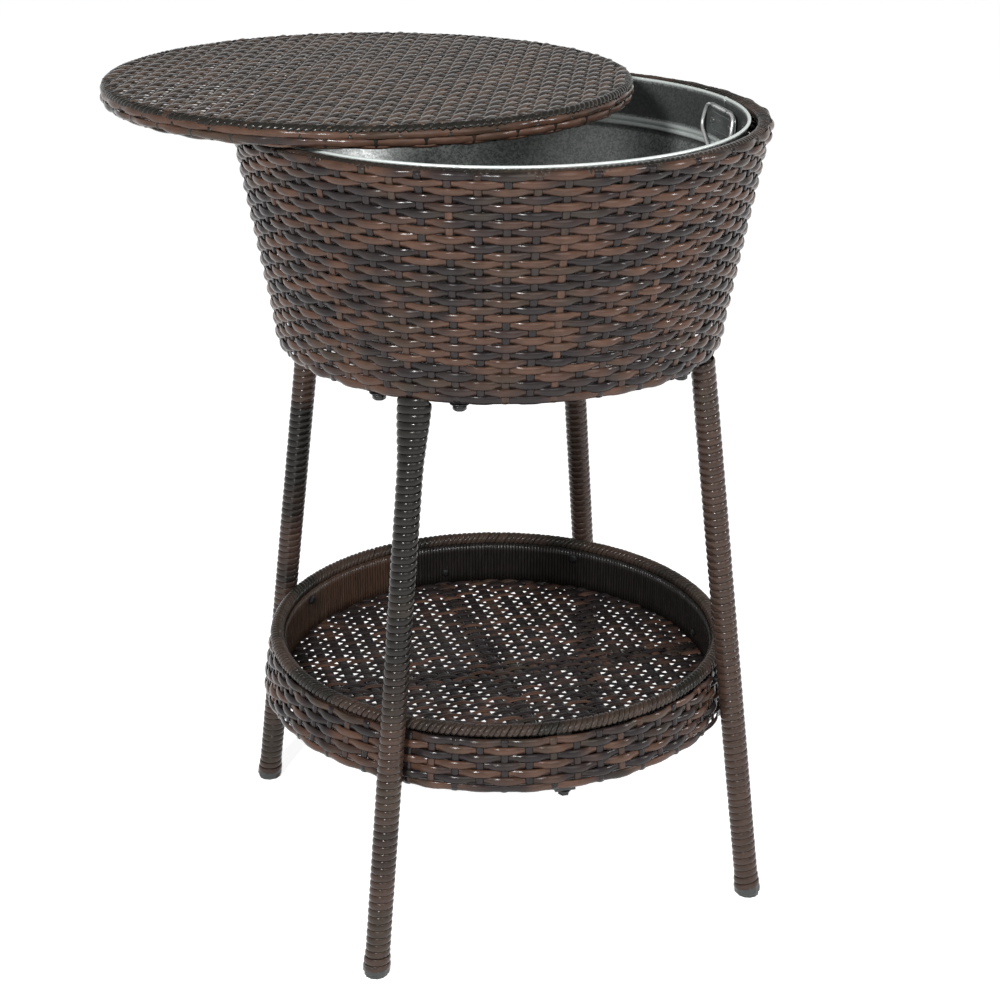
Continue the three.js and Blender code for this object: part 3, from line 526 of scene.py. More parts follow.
def galvanised(name="zinc_spangle"):
    """Spangled zinc: cells of slightly different grey and gloss, with two patches of painted reflected light
    on the inner wall, painted shade above and below the ledge, and painted highlight on the ledge and the
    rim."""
    found = bpy.data.materials.get(name)
    if found:
        return found
    material, nodes, shader = bare_material(name)
    place = nodes.object_place()
    zinc = np.array(bpy.context.scene.table_finishes.zinc)
    cells = nodes.add("ShaderNodeTexVoronoi", {"Vector": place, "Scale": 620.0}).outputs["Color"]
    cloud = nodes.noise(place, 190.0, 4.0, 0.65)
    grime = nodes.noise(place, 14.0, 5.0, 0.6)
    flake = nodes.math("MULTIPLY_ADD", nodes.parts(cells)[0], 0.6, nodes.math("MULTIPLY", cloud, 0.8))
    spangle = nodes.ranged(flake, 0.35, 1.05)
    base = nodes.mix(spangle, opaque(zinc * 0.55), opaque(zinc * 1.45))
    base = nodes.mix(nodes.ranged(grime, 0.4, 0.7, 0.0, 0.3), base, opaque(zinc * 0.55))
    # Painted reflected light: the glare patches are zinc made 2.3 to 4.6 times lighter
    light = nodes.mix(spangle, opaque(zinc * 2.3), opaque(zinc * 4.6))
    for centre, reach in ZINC_PAINTED_GLARE:
        away = nodes.add("ShaderNodeVectorMath", {0: place, 1: centre}, operation="DISTANCE").outputs["Value"]
        base = nodes.mix(nodes.ranged(away, reach, reach * 0.25, 0.0, 0.9), base, light)
    height = nodes.parts(place)[2]
    # Painted shade and painted highlight in bands by height
    for low, high, share, tone in ZINC_PAINTED_SHADE_AND_HIGHLIGHT:
        zone = nodes.math("MULTIPLY", nodes.ranged(height, low - 0.001, low + 0.001),
                          nodes.ranged(height, high + 0.001, high - 0.001))
        base = nodes.mix(nodes.math("MULTIPLY", zone, share), base, opaque(zinc * tone))
    nodes.wire(shader, {"Base Color": base, "Roughness": nodes.ranged(flake, 0.3, 1.1, 0.46, 0.3),
                        "Normal": nodes.bumped(flake, 0.0003, 0.35), "Metallic": 0.4})
    return material


def plain_metal(name, tint, roughness, metallic):
    """Painted or drawn metal, or plastic: small changes of tone and gloss, and a fine uneven surface."""
    found = bpy.data.materials.get(name)
    if found:
        return found
    material, nodes, shader = bare_material(name)
    place = nodes.object_place()
    cloud = nodes.noise(place, 40.0, 4.0, 0.6)
    tint = np.array(tint)
    nodes.wire(shader, {
        "Base Color": nodes.mix(nodes.ranged(cloud, 0.3, 0.7), opaque(tint * 0.88), opaque(tint * 1.12)),
        "Roughness": nodes.ranged(cloud, 0.3, 0.7, roughness * 0.85, roughness * 1.15),
        "Normal": nodes.bumped(nodes.noise(place, 900.0, 2.0), 0.0001, 0.35), "Metallic": metallic})
    return material


def painted_steel():
    """Black paint of the steel frame."""
    return plain_metal("black_paint", bpy.context.scene.table_finishes.paint, 0.38, 0.0)


def black_bolt():
    """Black finish of the bolts and screws."""
    return plain_metal("black_bolt", bpy.context.scene.table_finishes.paint, 0.26, 0.4)


# Patterns: woven walls, woven discs and wound rims

def along_profile(points, places):
    """Radius, height and outward normal on a profile of (radius, height) at given lengths from its top."""
    reach = np.append(0, np.cumsum(np.linalg.norm(np.diff(points, axis=0), axis=1)))
    ahead, here, behind = (np.stack([np.interp(places + shift, reach, column) for column in points.T], -1)
                           for shift in (0.004, 0.0, -0.004))
    down = unit(ahead - behind)
    return here[..., 0], here[..., 1], -down[..., 1], down[..., 0]


def woven_wall(rng, profile, stakes, pitch, sizes, phase, cover=1.0, stake_drop=0.0, centre=AXIS, swing=1.0,
               tie_width=1.0, tight_below=0.0):
    """Rows and stakes of a round wall. Each row is a ring that runs over and under the stakes, half a wave on
    from the row above; the rows lie one pitch apart down the profile, pinched where they change sides. The
    first and last row swing less, and rows below a height, tight_below, are an eighth wider. cover and swing
    are factors of the rows' width and depth, tie_width is a factor of the stakes' width, phase is the first
    stake's angle, and the stakes start by stake_drop below the top."""
    total = np.linalg.norm(np.diff(profile, axis=0), axis=1).sum()
    rows = int(round(total / pitch))
    row, stake = np.arange(rows)[:, None], np.arange(stakes)[:, None]
    lift = (sizes.strand_thickness * 0.7 + sizes.stake_thickness) / 2 * swing
    # A row's colours start and end at the back, where their seam is out of sight
    phase = phase + TURN * 2 * (stakes // 4) / stakes
    samples = stakes * STEPS_APART
    turned = np.arange(samples)[None, :] * TURN / samples + phase
    sway = wander(rng, rows, samples, 9) * SWAY + per_crossing(rng, rows, stakes, SCATTER)
    radius, height, out_r, out_z = along_profile(profile, (row + 0.5) * total / rows + sway)
    wave = over_under(np.arange(samples)[None, :] / STEPS_APART + row)
    swell = np.full((rows, 1), 0.98)
    swell[0], swell[-1] = 0.75, 0.55
    offset = wave * lift * swell + per_crossing(rng, rows, stakes, SCATTER)
    points = turned_xy(radius + out_r * offset, turned, height + out_z * offset, centre)
    roll = per_crossing(rng, rows, stakes, ROLL)
    lean_r, lean_z = out_r * np.cos(roll) - out_z * np.sin(roll), out_z * np.cos(roll) + out_r * np.sin(roll)
    width = sizes.strand_width * cover * (0.92 + 0.08 * np.abs(wave) + per_crossing(rng, rows, stakes, 0.015))
    width = width * np.where(height < tight_below, 1.13, 1.0)
    weft = Batch()
    weft.strands(points, turned_out(lean_r, turned, lean_z), width, sizes.strand_thickness, loop=True,
                 starts=rng.uniform(0, 40, rows))
    samples = rows * 2 + 1
    places = np.linspace(stake_drop, total, samples)[None, :] + 0 * stake
    radius, height, out_r, out_z = along_profile(profile, places)
    offset = -np.cos(math.pi * (places / total * rows - 0.5 + stake)) * SWAY
    turned = phase + stake * TURN / stakes + wander(rng, stakes, samples) * 0.0012
    points = turned_xy(radius + out_r * offset, turned, height + out_z * offset, centre)
    uprights = Batch()
    uprights.strands(points, turned_out(out_r, turned, out_z),
                     sizes.stake_width * tie_width * (1 + wander(rng, stakes, samples) * 0.03),
                     sizes.stake_thickness, starts=rng.uniform(0, 40, stakes), rows=stake[:, 0] + 200)
    return weft, uprights


def woven_disc(rng, centre, radius, height, turn, pitch, spacing, width, stake_width, thickness, border=0.0,
               lift=0.0014, pinch=0.05):
    """Rows and stakes of a flat round weave, each cut to its chord of the circle. The rows rise and fall by
    the lift, narrow by the pinch where they change sides, and widen by a quarter in the circle's border."""
    along = np.array([math.cos(turn), math.sin(turn)])
    across = np.array([-math.sin(turn), math.cos(turn)])
    weft, uprights = Batch(), Batch()
    for batch, own, other, forward, sideways, weaving, strand_width in (
            (weft, pitch, spacing, along, across, True, width),
            (uprights, spacing, pitch, across, along, False, stake_width)):
        count = int(radius / own)
        for row in range(-count, count + 1):
            aside = row * own
            if abs(aside) > radius - strand_width * 0.6:
                continue
            half = math.sqrt(radius ** 2 - aside ** 2)
            step = other / (STEPS_APART if weaving else 2)
            samples = max(4, int(round(2 * half / step)) + 1)
            at = np.linspace(-half, half, samples)
            waves = at / other
            if weaving:
                wave = over_under(waves + row)
                offset = wave * lift * 0.98
                near = np.clip((np.hypot(at, aside) - radius + border) / 0.012 + 1, 0, 1) if border else 0.0
                own_width = strand_width * (1 - pinch + pinch * np.abs(wave) + 0.26 * near)
            else:
                offset = -np.cos(math.pi * (waves + row)) * lift * 0.12
                own_width = strand_width
            offset = offset + wander(rng, 1, samples, 7)[0] * 0.0001
            drift = wander(rng, 1, samples, 5)[0] * (0.0002 if weaving else 0.0003)
            flat = centre + at[:, None] * forward + (aside + drift)[:, None] * sideways
            points = np.concatenate([flat, (height + offset)[:, None]], axis=1)[None]
            roll = wander(rng, 1, samples, 11)[0] * 0.1
            lean = UP * np.cos(roll)[:, None] + np.append(sideways, 0.0) * np.sin(roll)[:, None]
            batch.strands(points, lean[None], own_width, thickness,
                          starts=[rng.uniform(0, 40)], rows=[row + 100])
    return weft, uprights


def weave_pieces(weave, row_name, row_strand, stake_name, stake_strand, node, body="stand", slot="wicker"):
    """Makes the rows and the stakes of a weave, which stand for one CAD node."""
    weft, stakes = weave
    weft.piece(row_name, row_strand, body, slot, [node])
    stakes.piece(stake_name, stake_strand, body, slot, [node])


def wound_rim(rng, radius, height, section, pitch, thickness, first, last, slant, centre=AXIS, samples=13):
    """Strands wound across a round rim. Each is an arc round the rim's oval section, given by half its width
    and half its height, from the first angle to the last in degrees, and moves on along the rim by the
    slant."""
    count = int(round(TURN * radius / pitch))
    across, upward = section[0] - thickness / 2, section[1] - thickness / 2
    share = np.linspace(0, 1, samples)[None, :]
    swing = np.radians(first + (last - first) * share) + rng.uniform(-0.05, 0.05, (count, 1))
    turned = (np.arange(count)[:, None] + rng.uniform(-0.06, 0.06, (count, 1))) * TURN / count \
        + (share - 0.5) * slant / radius
    loose = rng.uniform(-0.00015, 0.00015, (count, 1)) + wander(rng, count, samples, 2) * 0.00006
    points = turned_xy(radius + (across + loose) * np.cos(swing), turned,
                       height + (upward + loose) * np.sin(swing), centre)
    outward = unit(turned_out(np.cos(swing) * upward, turned, np.sin(swing) * across))
    batch = Batch()
    batch.strands(points, outward, pitch * 0.97 * (1 + rng.uniform(-0.05, 0.04, (count, 1))), thickness,
                  starts=np.arange(count) * 0.034, rows=np.zeros(count, int))
    return batch


# Middle of each woven wall's sheet from its top down: (radius, height)
BASKET_PROFILE = MM * np.array([(249.2, 774.4), (250.0, 770.0), (248.9, 763.0), (245.2, 754.5),
                                (215.8, 590.1), (214.5, 578.0), (213.0, 568.0), (211.6, 561.8)])
EDGE_PROFILE = MM * np.array([(252.0, 794.6), (252.7, 790.0), (252.4, 784.6), (250.6, 780.6), (244.6, 779.6)])
TRAY_PROFILE = MM * np.array([(231.9, 240.2), (239.2, 192.6), (238.6, 188.6)])


class BasketWeave(bpy.types.Operator):
    """Weave the basket wall: rows over and under upright stakes"""
    bl_idname = "cooler_table.basket_weave"
    bl_label = "Basket weave"

    def execute(self, context):
        sizes = context.scene.strand_sizes
        rng = np.random.default_rng(11)
        weave = woven_wall(rng, BASKET_PROFILE, sizes.basket_stakes, sizes.row_pitch, sizes,
                           math.radians(-89.4), stake_drop=0.001, tight_below=0.594)
        weave_pieces(weave, "basket_rows", wicker("basket_strand"),
                     "basket_stakes", wicker("basket_stake", share=0.35, seed=31.0), "basket_weave")
        return {"FINISHED"}


class RimBindings(bpy.types.Operator):
    """Wind the bindings of the basket rim and the tray rim"""
    bl_idname = "cooler_table.rim_bindings"
    bl_label = "Rim bindings"

    def execute(self, context):
        sizes = context.scene.strand_sizes
        finish = context.scene.table_finishes
        rng = np.random.default_rng(12)
        # Name, how far inside and below the binding's box its middle lies, section, angles, share of brown
        for name, inset, drop, section, first, last, share in (
                ("basket_rim", 0.0079, 0.0079, (0.0073, 0.0059), 34, 214, 0.45),
                ("tray_rim", 0.0076, 0.0070, (0.0072, 0.0070), -20, 226, 0.55)):
            _, radius, _, top = disc(name + "_binding")
            rim = wound_rim(rng, radius - inset, top - drop, section, sizes.wrap_pitch, 0.0021, first, last,
                            slant=0.014)
            strand = wicker(name + "_strand", dark=finish.binding, warm=(0.055, 0.036, 0.028), drift=2.0,
                            share=share, seed=12.0)
            rim.piece(name + "_wraps", strand, "stand", "wicker", [name + "_binding"])
        return {"FINISHED"}


class TrayWeave(bpy.types.Operator):
    """Weave the tray's wall, floor and lining"""
    bl_idname = "cooler_table.tray_weave"
    bl_label = "Tray weave"

    def execute(self, context):
        sizes = context.scene.strand_sizes
        rng = np.random.default_rng(13)
        weave = woven_wall(rng, TRAY_PROFILE, sizes.tray_stakes, sizes.tray_row_pitch, sizes,
                           math.radians(-94.7), cover=1.05)
        weave_pieces(weave, "tray_wall_rows", wicker("tray_strand", seed=7.0),
                     "tray_wall_stakes", wicker("tray_stake", share=0.35, seed=44.0), "tray_wall_weave")
        _, radius, foot, top = disc("tray_floor_weave")
        weave = woven_disc(rng, AXIS, radius, (foot + top) / 2, sizes.floor_angle, sizes.floor_pitch,
                           sizes.floor_spacing, width=0.0077, stake_width=0.0104, thickness=0.0018,
                           border=0.026)
        weave_pieces(weave, "tray_floor_rows", wicker("tray_floor_strand", share=0.36, seed=19.0),
                     "tray_floor_stakes", wicker("tray_floor_stake", share=0.3, seed=23.0),
                     "tray_floor_weave", slot="wicker_dark")
        _, radius, foot, top = disc("tray_lining")
        radius -= 0.0013
        count = int(round(TURN * radius / sizes.lining_pitch))
        heights = np.linspace(foot, top + 0.0035, 5)[None, :]
        turned = np.arange(count)[:, None] * TURN / count + rng.uniform(-0.0003, 0.0003, (count, 5))
        points = turned_xy(radius + rng.uniform(-0.0002, 0.0002, (count, 1)), turned, heights)
        lining = Batch()
        lining.strands(points, turned_out(-1, turned, 0), sizes.lining_pitch * 1.08, sizes.strand_thickness,
                       starts=np.arange(count) * 0.05, rows=np.zeros(count, int), section=ROUND)
        lining.piece("tray_lining_strands", lining_wicker(), "stand", "wicker_dark", ["tray_lining"])
        return {"FINISHED"}


def leg_line(leg):
    """Foot, top and unit direction of a leg, the two unit vectors across it, its angle about the table."""
    turn = LEG_TURN + TURN / LEGS * leg
    top = turned_xy(LEG_TOP[0], turn, LEG_TOP[1])
    foot = turned_xy(LEG_FOOT_RADIUS, turn - LEG_TWIST, 0.0)
    axis = unit(top - foot)
    out = turned_out(1, turn, 0)
    radial = unit(out - axis * (axis @ out))
    return foot, top, axis, radial, np.cross(axis, radial), turn


class LegWraps(bpy.types.Operator):
    """Wind the strands of the four legs"""
    bl_idname = "cooler_table.leg_wraps"
    bl_label = "Leg wraps"

    def execute(self, context):
        sizes = context.scene.strand_sizes
        rng = np.random.default_rng(14)
        for leg in range(LEGS):
            foot, top, axis, radial, aside, _ = leg_line(leg)
            total = np.linalg.norm(top - foot)
            first, last = 0.0054, total + 0.0012
            turns = (last - first) / sizes.leg_pitch
            samples = int(turns * 16)
            at = np.linspace(first, last, samples)
            swing = TURN * turns * (at - first) / (last - first) + leg * 1.3
            flare = np.clip((at - (total - FLARE_LENGTH)) / FLARE_LENGTH, 0, 1)
            flare = flare * flare * (3 - 2 * flare)
            swell = np.clip((FOOT_HEIGHT - at) / (FOOT_HEIGHT / 2), 0, 1) * FOOT_SWELL
            thickness = 0.0022
            out_r = LEG_HALF + swell - FLARE_IN * flare - thickness / 2
            out_a = LEG_HALF + swell + FLARE_OUT * flare - thickness / 2
            loose = wander(rng, 1, samples, 60)[0] * 0.0001
            points = (foot + at[:, None] * axis + ((out_r + loose) * np.cos(swing))[:, None] * radial
                      + ((out_a + loose) * np.sin(swing))[:, None] * aside)
            outward = np.cos(swing)[:, None] * radial + np.sin(swing)[:, None] * aside
            batch = Batch()
            batch.strands(points[None], outward[None], sizes.leg_pitch * 1.06, thickness, section=CUSHION,
                          starts=[leg * 11.0], rows=[0])
            batch.piece(f"leg_wraps_{leg + 1}", leg_wicker(leg), "stand", "wicker", [f"leg_wrap_{leg + 1}"])
        return {"FINISHED"}


class LegFrames(bpy.types.Operator):
    """Make the leg tubes, the curved bars at their tops and the bolts of these"""
    bl_idname = "cooler_table.leg_frames"
    bl_label = "Leg frames"

    def execute(self, context):
        corners = np.array([(-1, -1), (1, -1), (1, 1), (-1, 1)])
        washer = rounded(corners * WASHER_RADIUS, WASHER_RADIUS, 9)[::-1]
        hexagon = np.array([(math.cos(a), -math.sin(a)) for a in np.arange(6) * TURN / 6])
        hexagon = rounded(hexagon * HEXAGON_RADIUS, 0.0018, 4)
        for leg in range(LEGS):
            foot, top, _, radial, _, turn = leg_line(leg)
            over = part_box(f"leg_frame_{leg + 1}")[1].z
            batch = Batch()
            at = np.linspace(0.0035, 1, 4)[:, None]
            batch.strands((foot + (top - foot) * at)[None], np.broadcast_to(radial, (1, 4, 3)), TUBE_WIDTH,
                          TUBE_WIDTH, section=ROUND)
            reach = turn + np.linspace(-BAR_REACH, BAR_REACH, 25)
            batch.strands(turned_xy(BAR_RADIUS, reach, over - BAR_THICKNESS / 2)[None],
                          np.broadcast_to(UP, (1, 25, 3)), BAR_WIDTH, BAR_THICKNESS)
            batch.piece(f"leg_tube_{leg + 1}", painted_steel(), "stand", "black_steel",
                        [f"leg_frame_{leg + 1}"])
            for side, letter in ((-1, "a"), (1, "b")):
                place = turned_xy(BOLT_RADIUS, turn + BOLT_TURN * side, over - BAR_THICKNESS)
                head = Batch()
                head.slab(place, EAST, NORTH, -UP, washer, ((0.0013, 0.0004), (0.0009, 0.0), (0.0, 0.0)))
                head.slab(place, EAST, NORTH, -UP, hexagon,
                          ((0.0079, 0.0022), (0.0072, 0.0006), (0.0066, 0.0), (0.0013, 0.0)))
                head.piece(f"bar_bolt_{leg + 1}{letter}", black_bolt(), "stand", "black_fastener",
                           [f"flange_bolt_{leg + 1}{letter}"])
        return {"FINISHED"}


class TopWeave(bpy.types.Operator):
    """Weave the table top and its edge"""
    bl_idname = "cooler_table.top_weave"
    bl_label = "Table top"

    def execute(self, context):
        sizes = context.scene.strand_sizes
        finish = context.scene.table_finishes
        rng = np.random.default_rng(15)
        weave = woven_disc(rng, TOP_CENTRE, TOP_RADIUS, TOP_HEIGHT - 0.0017, sizes.top_angle, sizes.top_pitch,
                           sizes.top_spacing, width=0.0079, stake_width=0.0094, thickness=0.0020)
        tones = {"dark": (0.046, 0.038, 0.034), "warm": (0.098, 0.068, 0.052), "olive": (0.068, 0.057, 0.043)}
        weave_pieces(weave, "top_rows", wicker("top_strand", seed=2.0, drift=5.0, **tones),
                     "top_stakes", wicker("top_stake", seed=26.0, **tones), "top_weave", "top")
        dark = wicker("binding_strand", dark=finish.binding, share=0.22, drift=5.0, seed=12.0)
        rim = wound_rim(rng, disc("top_edge_weave")[1] - 0.0066, TOP_HEIGHT - 0.0058, (0.0060, 0.0058),
                        sizes.edge_pitch, 0.0024, first=2, last=112, slant=0.008, centre=TOP_CENTRE,
                        samples=9)
        rim.piece("top_edge_wraps", dark, "top", "wicker", ["top_edge_weave"])
        weave = woven_wall(rng, EDGE_PROFILE, sizes.edge_stakes, 0.0072, sizes, 0.03, cover=0.96,
                           stake_drop=0.003, centre=TOP_CENTRE, swing=0.45, tie_width=0.7)
        weave_pieces(weave, "top_edge_bands", wicker("edge_band", share=0.72, seed=9.0),
                     "top_edge_ties", dark, "top_edge_weave", "top")
        return {"FINISHED"}


def tub_profile():
    """Outline of the tub's sheet: inside from the middle of its floor, over the rolled rim, down outside."""
    wall = 1.1
    swing = np.radians(np.linspace(-90, -8, 9))
    inside = [(0.0, 578.4)] + [(181.6 + 9 * math.cos(a), 587.4 + 9 * math.sin(a)) for a in swing]
    bead = np.radians(np.linspace(-84, 84, 11))
    lower = [(223.6 - 2.0 * math.cos(a), 728.6 + 2.1 * math.sin(a)) for a in bead]
    upper = [(224.2 - 2.3 * math.cos(a), 733.8 + 2.3 * math.sin(a)) for a in bead]
    neck = [(224.8, 738.5), (225.8, 755.0), (227.2, 767.0), (228.1, 772.0)]
    roll = np.radians(np.linspace(180, -60, 15))
    rim = [(229.8 + 1.6 * math.cos(a), 774.1 + 1.6 * math.sin(a)) for a in roll]
    outside = [(r + wall, z) for r, z in reversed([(223.2, 724.0)] + lower + upper + neck[:3])]
    base = [(181.6 + 10.2 * math.cos(a), 587.4 + 10.2 * math.sin(a)) for a in swing[::-1]] + [(0.0, 577.2)]
    return np.array(inside + [(223.0, 724.0)] + lower + upper + neck + rim + outside + base) * MM


class Tub(bpy.types.Operator):
    """Spin the galvanised tub with its rolled rim and pressed ledge"""
    bl_idname = "cooler_table.tub"
    bl_label = "Tub"

    def execute(self, context):
        batch = Batch()
        batch.revolved(tub_profile(), 240)
        seam = np.array([(192.4, 590.0), (222.6, 724.0), (221.6, 728.6), (221.8, 733.8), (224.6, 738.5),
                         (225.6, 755.0), (227.0, 767.0), (227.8, 772.0), (228.5, 775.0), (229.8, 776.0),
                         (231.1, 775.0)]) * MM
        turn = math.radians(18.0)
        points = turned_xy(seam[:, 0], turn, seam[:, 1])
        down = unit(np.gradient(seam, axis=0))
        inward = turned_out(-down[:, 1], turn, down[:, 0])
        batch.strands(points[None], inward[None], 0.0052, 0.001)
        batch.piece("ice_tub", galvanised(), "tub", "galvanised_sheet", ["tub"])
        return {"FINISHED"}


# Handles: angle of the first, radius and height of the pivots, and how far a hanging wire leans inwards
HANDLE_TURN = math.radians(14.4)
PIVOT_RADIUS, PIVOT_HEIGHT = 218.03 * MM, 767.5 * MM
HANDLE_LEAN = math.radians(9.6)
WIRE_WIDTH = 3.4 * MM


def handle_frame(handle):
    """Place of a handle's pivot, and the unit vectors inwards and sideways there."""
    turn = HANDLE_TURN + math.pi * handle
    out = turned_out(1, turn, 0)
    return turned_xy(PIVOT_RADIUS, turn, PIVOT_HEIGHT), -out, np.cross(UP, out)


class TubHandles(bpy.types.Operator):
    """Bend the wire handles and make their plates and rivets"""
    bl_idname = "cooler_table.tub_handles"
    bl_label = "Tub handles"

    def execute(self, context):
        finish = context.scene.table_finishes
        wire = plain_metal("bright_wire", finish.wire, 0.3, 0.6)
        plate_metal = plain_metal("zinc_plate", np.array(finish.zinc) * 1.3, 0.32, 0.8)
        for handle in range(2):
            pivot, inward, aside = handle_frame(handle)
            number = handle + 1
            hang = inward * math.sin(HANDLE_LEAN) - UP * math.cos(HANDLE_LEAN)
            outline = rounded([(-0.0345, 0.0), (0.0345, 0.0), (0.0385, 0.022), (0.0, 0.0445),
                               (-0.0385, 0.022)], 0.0085, 7)
            points = pivot + outline[:, :1] * aside + outline[:, 1:] * hang
            loop = Batch()
            loop.strands(points[None], np.broadcast_to(np.cross(aside, hang), points.shape)[None], WIRE_WIDTH,
                         WIRE_WIDTH, loop=True, section=ROUND)
            loop.piece(f"handle_wire_{number}", wire, f"handle_{number}", "handle_wire",
                       [f"tub_handle_{number}"])
            back = pivot - inward * 0.0022
            edge = rounded([(-0.037, -0.028), (0.037, -0.028), (0.037, -0.003), (0.027, 0.0022),
                            (-0.027, 0.0022), (-0.037, -0.003)], 0.004)
            plate = Batch()
            plate.slab(back, aside, UP, inward, edge, ((0.0012, 0.0005), (0.0009, 0.0), (0.0, 0.0)))
            bars = rounded([(-0.026, -0.0235), (0.026, -0.0235), (0.026, -0.0065), (-0.026, -0.0065)],
                           0.006, 7)
            ridge = back + bars[:, :1] * aside + bars[:, 1:] * UP + inward * 0.0006
            plate.strands(ridge[None], np.broadcast_to(inward, ridge.shape)[None], 0.0022, 0.0016, loop=True,
                          section=ROUND)
            swing = np.radians(np.linspace(180, -70, 15))
            outward = inward * np.cos(swing)[:, None] + UP * np.sin(swing)[:, None]
            for place in (-0.02, 0.02):
                plate.strands((pivot + aside * place + outward * 0.0022)[None], outward[None], 0.007, 0.0008)
            plate.piece(f"plate_{number}", plate_metal, "tub", "galvanised_sheet", [f"handle_plate_{number}"])
            for side, letter in ((-1, "a"), (1, "b")):
                rivet = Batch()
                centre = back + aside * 0.022 * side - UP * 0.015 + inward * 0.0008
                rivet.dome(centre, inward, aside, 0.0036, 0.0016)
                rivet.piece(f"rivet_{number}{letter}", plate_metal, "tub", "galvanised_sheet",
                            [f"handle_rivet_{number}{letter}"])
        return {"FINISHED"}


class SteelAndPlastic(bpy.types.Operator):
    """Give the frame, the tray's bolts and the foot caps their finishes"""
    bl_idname = "cooler_table.steel_and_plastic"
    bl_label = "Steel and plastic"

    def execute(self, context):
        cap = plain_metal("slate_plastic", context.scene.table_finishes.plastic, 0.5, 0.0)
        kinds = (("foot_cap", cap), ("tray_bar_bolt", black_bolt()), ("tray_leg_bolt", black_bolt()),
                 ("tray_post_screw", black_bolt()), ("", painted_steel()))
        for name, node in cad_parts.items():
            if not node.hide_render:
                node.data.materials.clear()
                node.data.materials.append(next(made for prefix, made in kinds if name.startswith(prefix)))
        return {"FINISHED"}


def seen_rays(nodes):
    """1 where the camera sees a surface directly, mirrored or through glass, otherwise 0."""
    rays = nodes.add("ShaderNodeLightPath").outputs
    return nodes.math("MAXIMUM", rays["Is Camera Ray"],
                      nodes.math("MAXIMUM", rays["Is Glossy Ray"], rays["Is Transmission Ray"]))


# Camera's place and sideways shift, where the lamps point, and half the width of the floor
CAMERA_PLACE, CAMERA_SHIFT = (0.02614, -1.85486, 1.1306), 0.0314
LAMP_TARGET = np.array([0.05, 0.0, 0.6])
FLOOR_HALF = 14.0


def lay_floor(stage):
    """Pale floor that the camera sees as white and that keeps the object's shadow."""
    mesh = bpy.data.meshes.new("floor")
    corners = [(x * FLOOR_HALF, y * FLOOR_HALF, 0) for x, y in ((-1, -1), (1, -1), (1, 1), (-1, 1))]
    mesh.from_pydata(corners, [], [(0, 1, 2, 3)])
    material, nodes, shader = bare_material("floor_white")
    nodes.wire(shader, {"Base Color": opaque(stage.floor), "Roughness": 0.9, "Specular IOR Level": 0.0,
                        "Emission Color": (1, 1, 1, 1),
                        "Emission Strength": nodes.math("MULTIPLY", seen_rays(nodes), stage.floor_glow)})
    mesh.materials.append(material)
    linked("floor", mesh)


def light_world(stage):
    """Soft light all round. Seen directly or mirrored it is white at the horizon, and darker further up."""
    world = bpy.data.worlds.new("studio")
    bpy.context.scene.world = world
    world.use_nodes = True
    world.node_tree.nodes.clear()
    nodes = Nodes(world.node_tree)
    toward = nodes.parts(nodes.add("ShaderNodeNewGeometry").outputs["Incoming"])
    white = nodes.ranged(nodes.math("ABSOLUTE", toward[2]), 0.12, 0.6, 1.0, stage.ceiling)
    soft, seen = (nodes.add("ShaderNodeBackground", {"Color": (1, 1, 1, 1), "Strength": strength}).outputs[0]
                  for strength in (stage.sky_strength, white))
    both = nodes.add("ShaderNodeMixShader", {0: seen_rays(nodes), 1: soft, 2: seen})
    nodes.add("ShaderNodeOutputWorld", {0: both.outputs[0]})


def hang_lamps(stage):
    """Round lamps that face the table: name, place, power and width."""
    for name, place, power, size in (("key", (0.96, -2.26, 1.93), stage.key_power, 1.8),
                                     ("spark", (-0.85, -2.4, 1.95), stage.spark_power, 0.36),
                                     ("side", (2.3, -0.6, 1.3), stage.side_power, 0.35)):
        lamp = bpy.data.lights.new(name, "AREA")
        lamp.energy, lamp.shape, lamp.size = power, "DISK", size
        obj = linked(name, lamp)
        obj.location = place
        aim = unit(LAMP_TARGET - np.array(place))
        obj.rotation_euler = (math.atan2(math.hypot(aim[0], aim[1]), -aim[2]), 0, math.atan2(-aim[0], aim[1]))


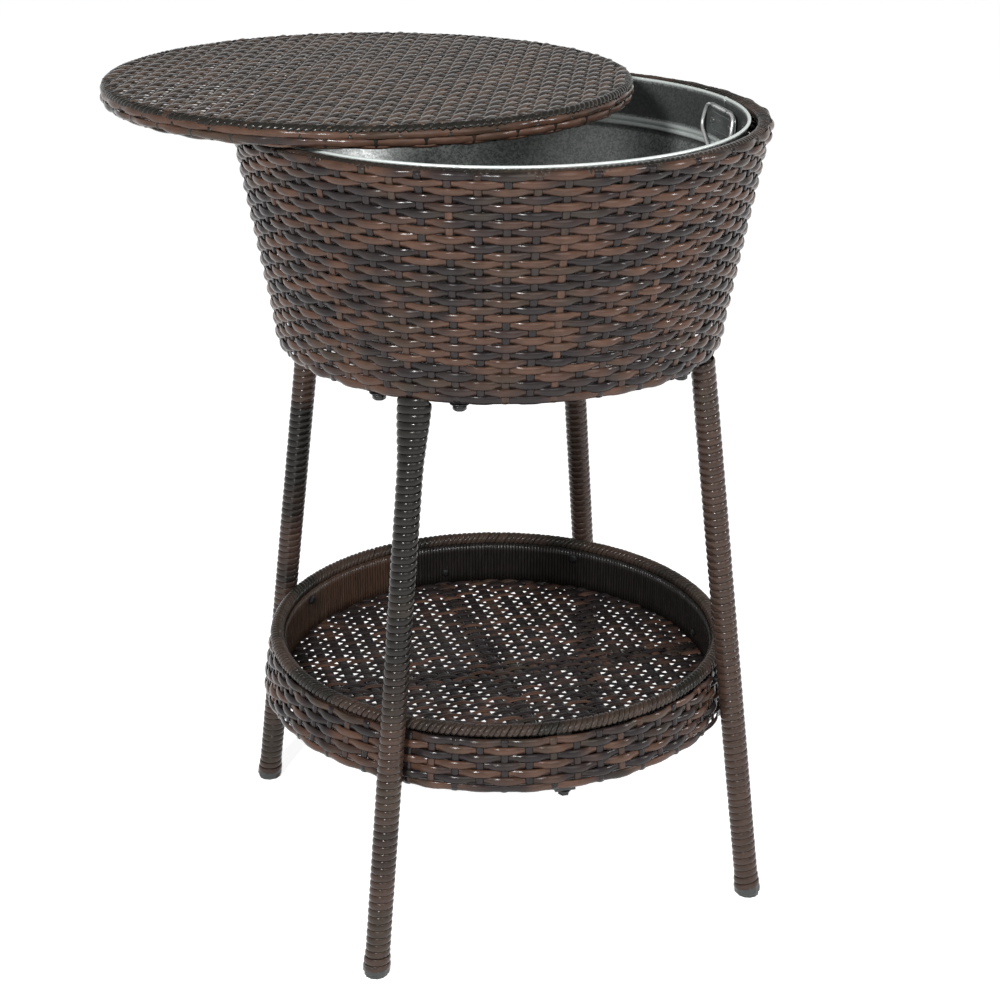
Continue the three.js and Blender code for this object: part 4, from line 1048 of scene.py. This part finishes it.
def set_camera(stage):
    """Camera at the photo's place."""
    camera = bpy.data.cameras.new("camera")
    camera.sensor_width, camera.lens, camera.shift_x, camera.clip_end = 36, stage.lens, CAMERA_SHIFT, 50
    obj = linked("camera", camera)
    obj.location = CAMERA_PLACE
    obj.rotation_euler = (math.radians(90) - stage.tilt, 0, 0)
    bpy.context.scene.camera = obj


class Stage(bpy.types.Operator):
    """Set the pale floor, the soft light and the camera"""
    bl_idname = "cooler_table.stage"
    bl_label = "Stage"

    def execute(self, context):
        context.scene.view_settings.view_transform = "Standard"
        for part in (lay_floor, light_world, hang_lamps, set_camera):
            part(context.scene.stage_settings)
        return {"FINISHED"}


class TablePanel(bpy.types.Panel):
    """Sizes, finishes and steps of the cooler table"""
    bl_idname = "VIEW3D_PT_cooler_table"
    bl_label = "Cooler table"
    bl_space_type = "VIEW_3D"
    bl_region_type = "UI"
    bl_category = "Cooler table"

    def draw(self, context):
        layout = self.layout
        for title, group_of in (("Strands", context.scene.strand_sizes),
                                ("Finishes", context.scene.table_finishes),
                                ("Stage", context.scene.stage_settings)):
            box = layout.box()
            box.label(text=title)
            for key in group_of.__annotations__:
                box.prop(group_of, key)
        for step in STEPS:
            layout.operator(step.bl_idname)


STEPS = (BasketWeave, RimBindings, TrayWeave, LegWraps, LegFrames, TopWeave, Tub, TubHandles,
         SteelAndPlastic, Stage)
GROUPS = (("strand_sizes", StrandSizes), ("table_finishes", TableFinishes), ("stage_settings", StageSettings))


def register():
    """Adds the classes and the settings to Blender."""
    for name, kind in GROUPS:
        bpy.utils.register_class(kind)
        setattr(bpy.types.Scene, name, bpy.props.PointerProperty(type=kind))
    for kind in (*STEPS, TablePanel):
        bpy.utils.register_class(kind)


def unregister():
    """Takes them out again."""
    for kind in reversed((*STEPS, TablePanel)):
        bpy.utils.unregister_class(kind)
    for name, kind in reversed(GROUPS):
        delattr(bpy.types.Scene, name)
        bpy.utils.unregister_class(kind)


def main():
    """Runs the steps in order."""
    register()
    for step in STEPS:
        family, name = step.bl_idname.split(".")
        getattr(getattr(bpy.ops, family), name)()


if __name__ == "__main__":
    main()
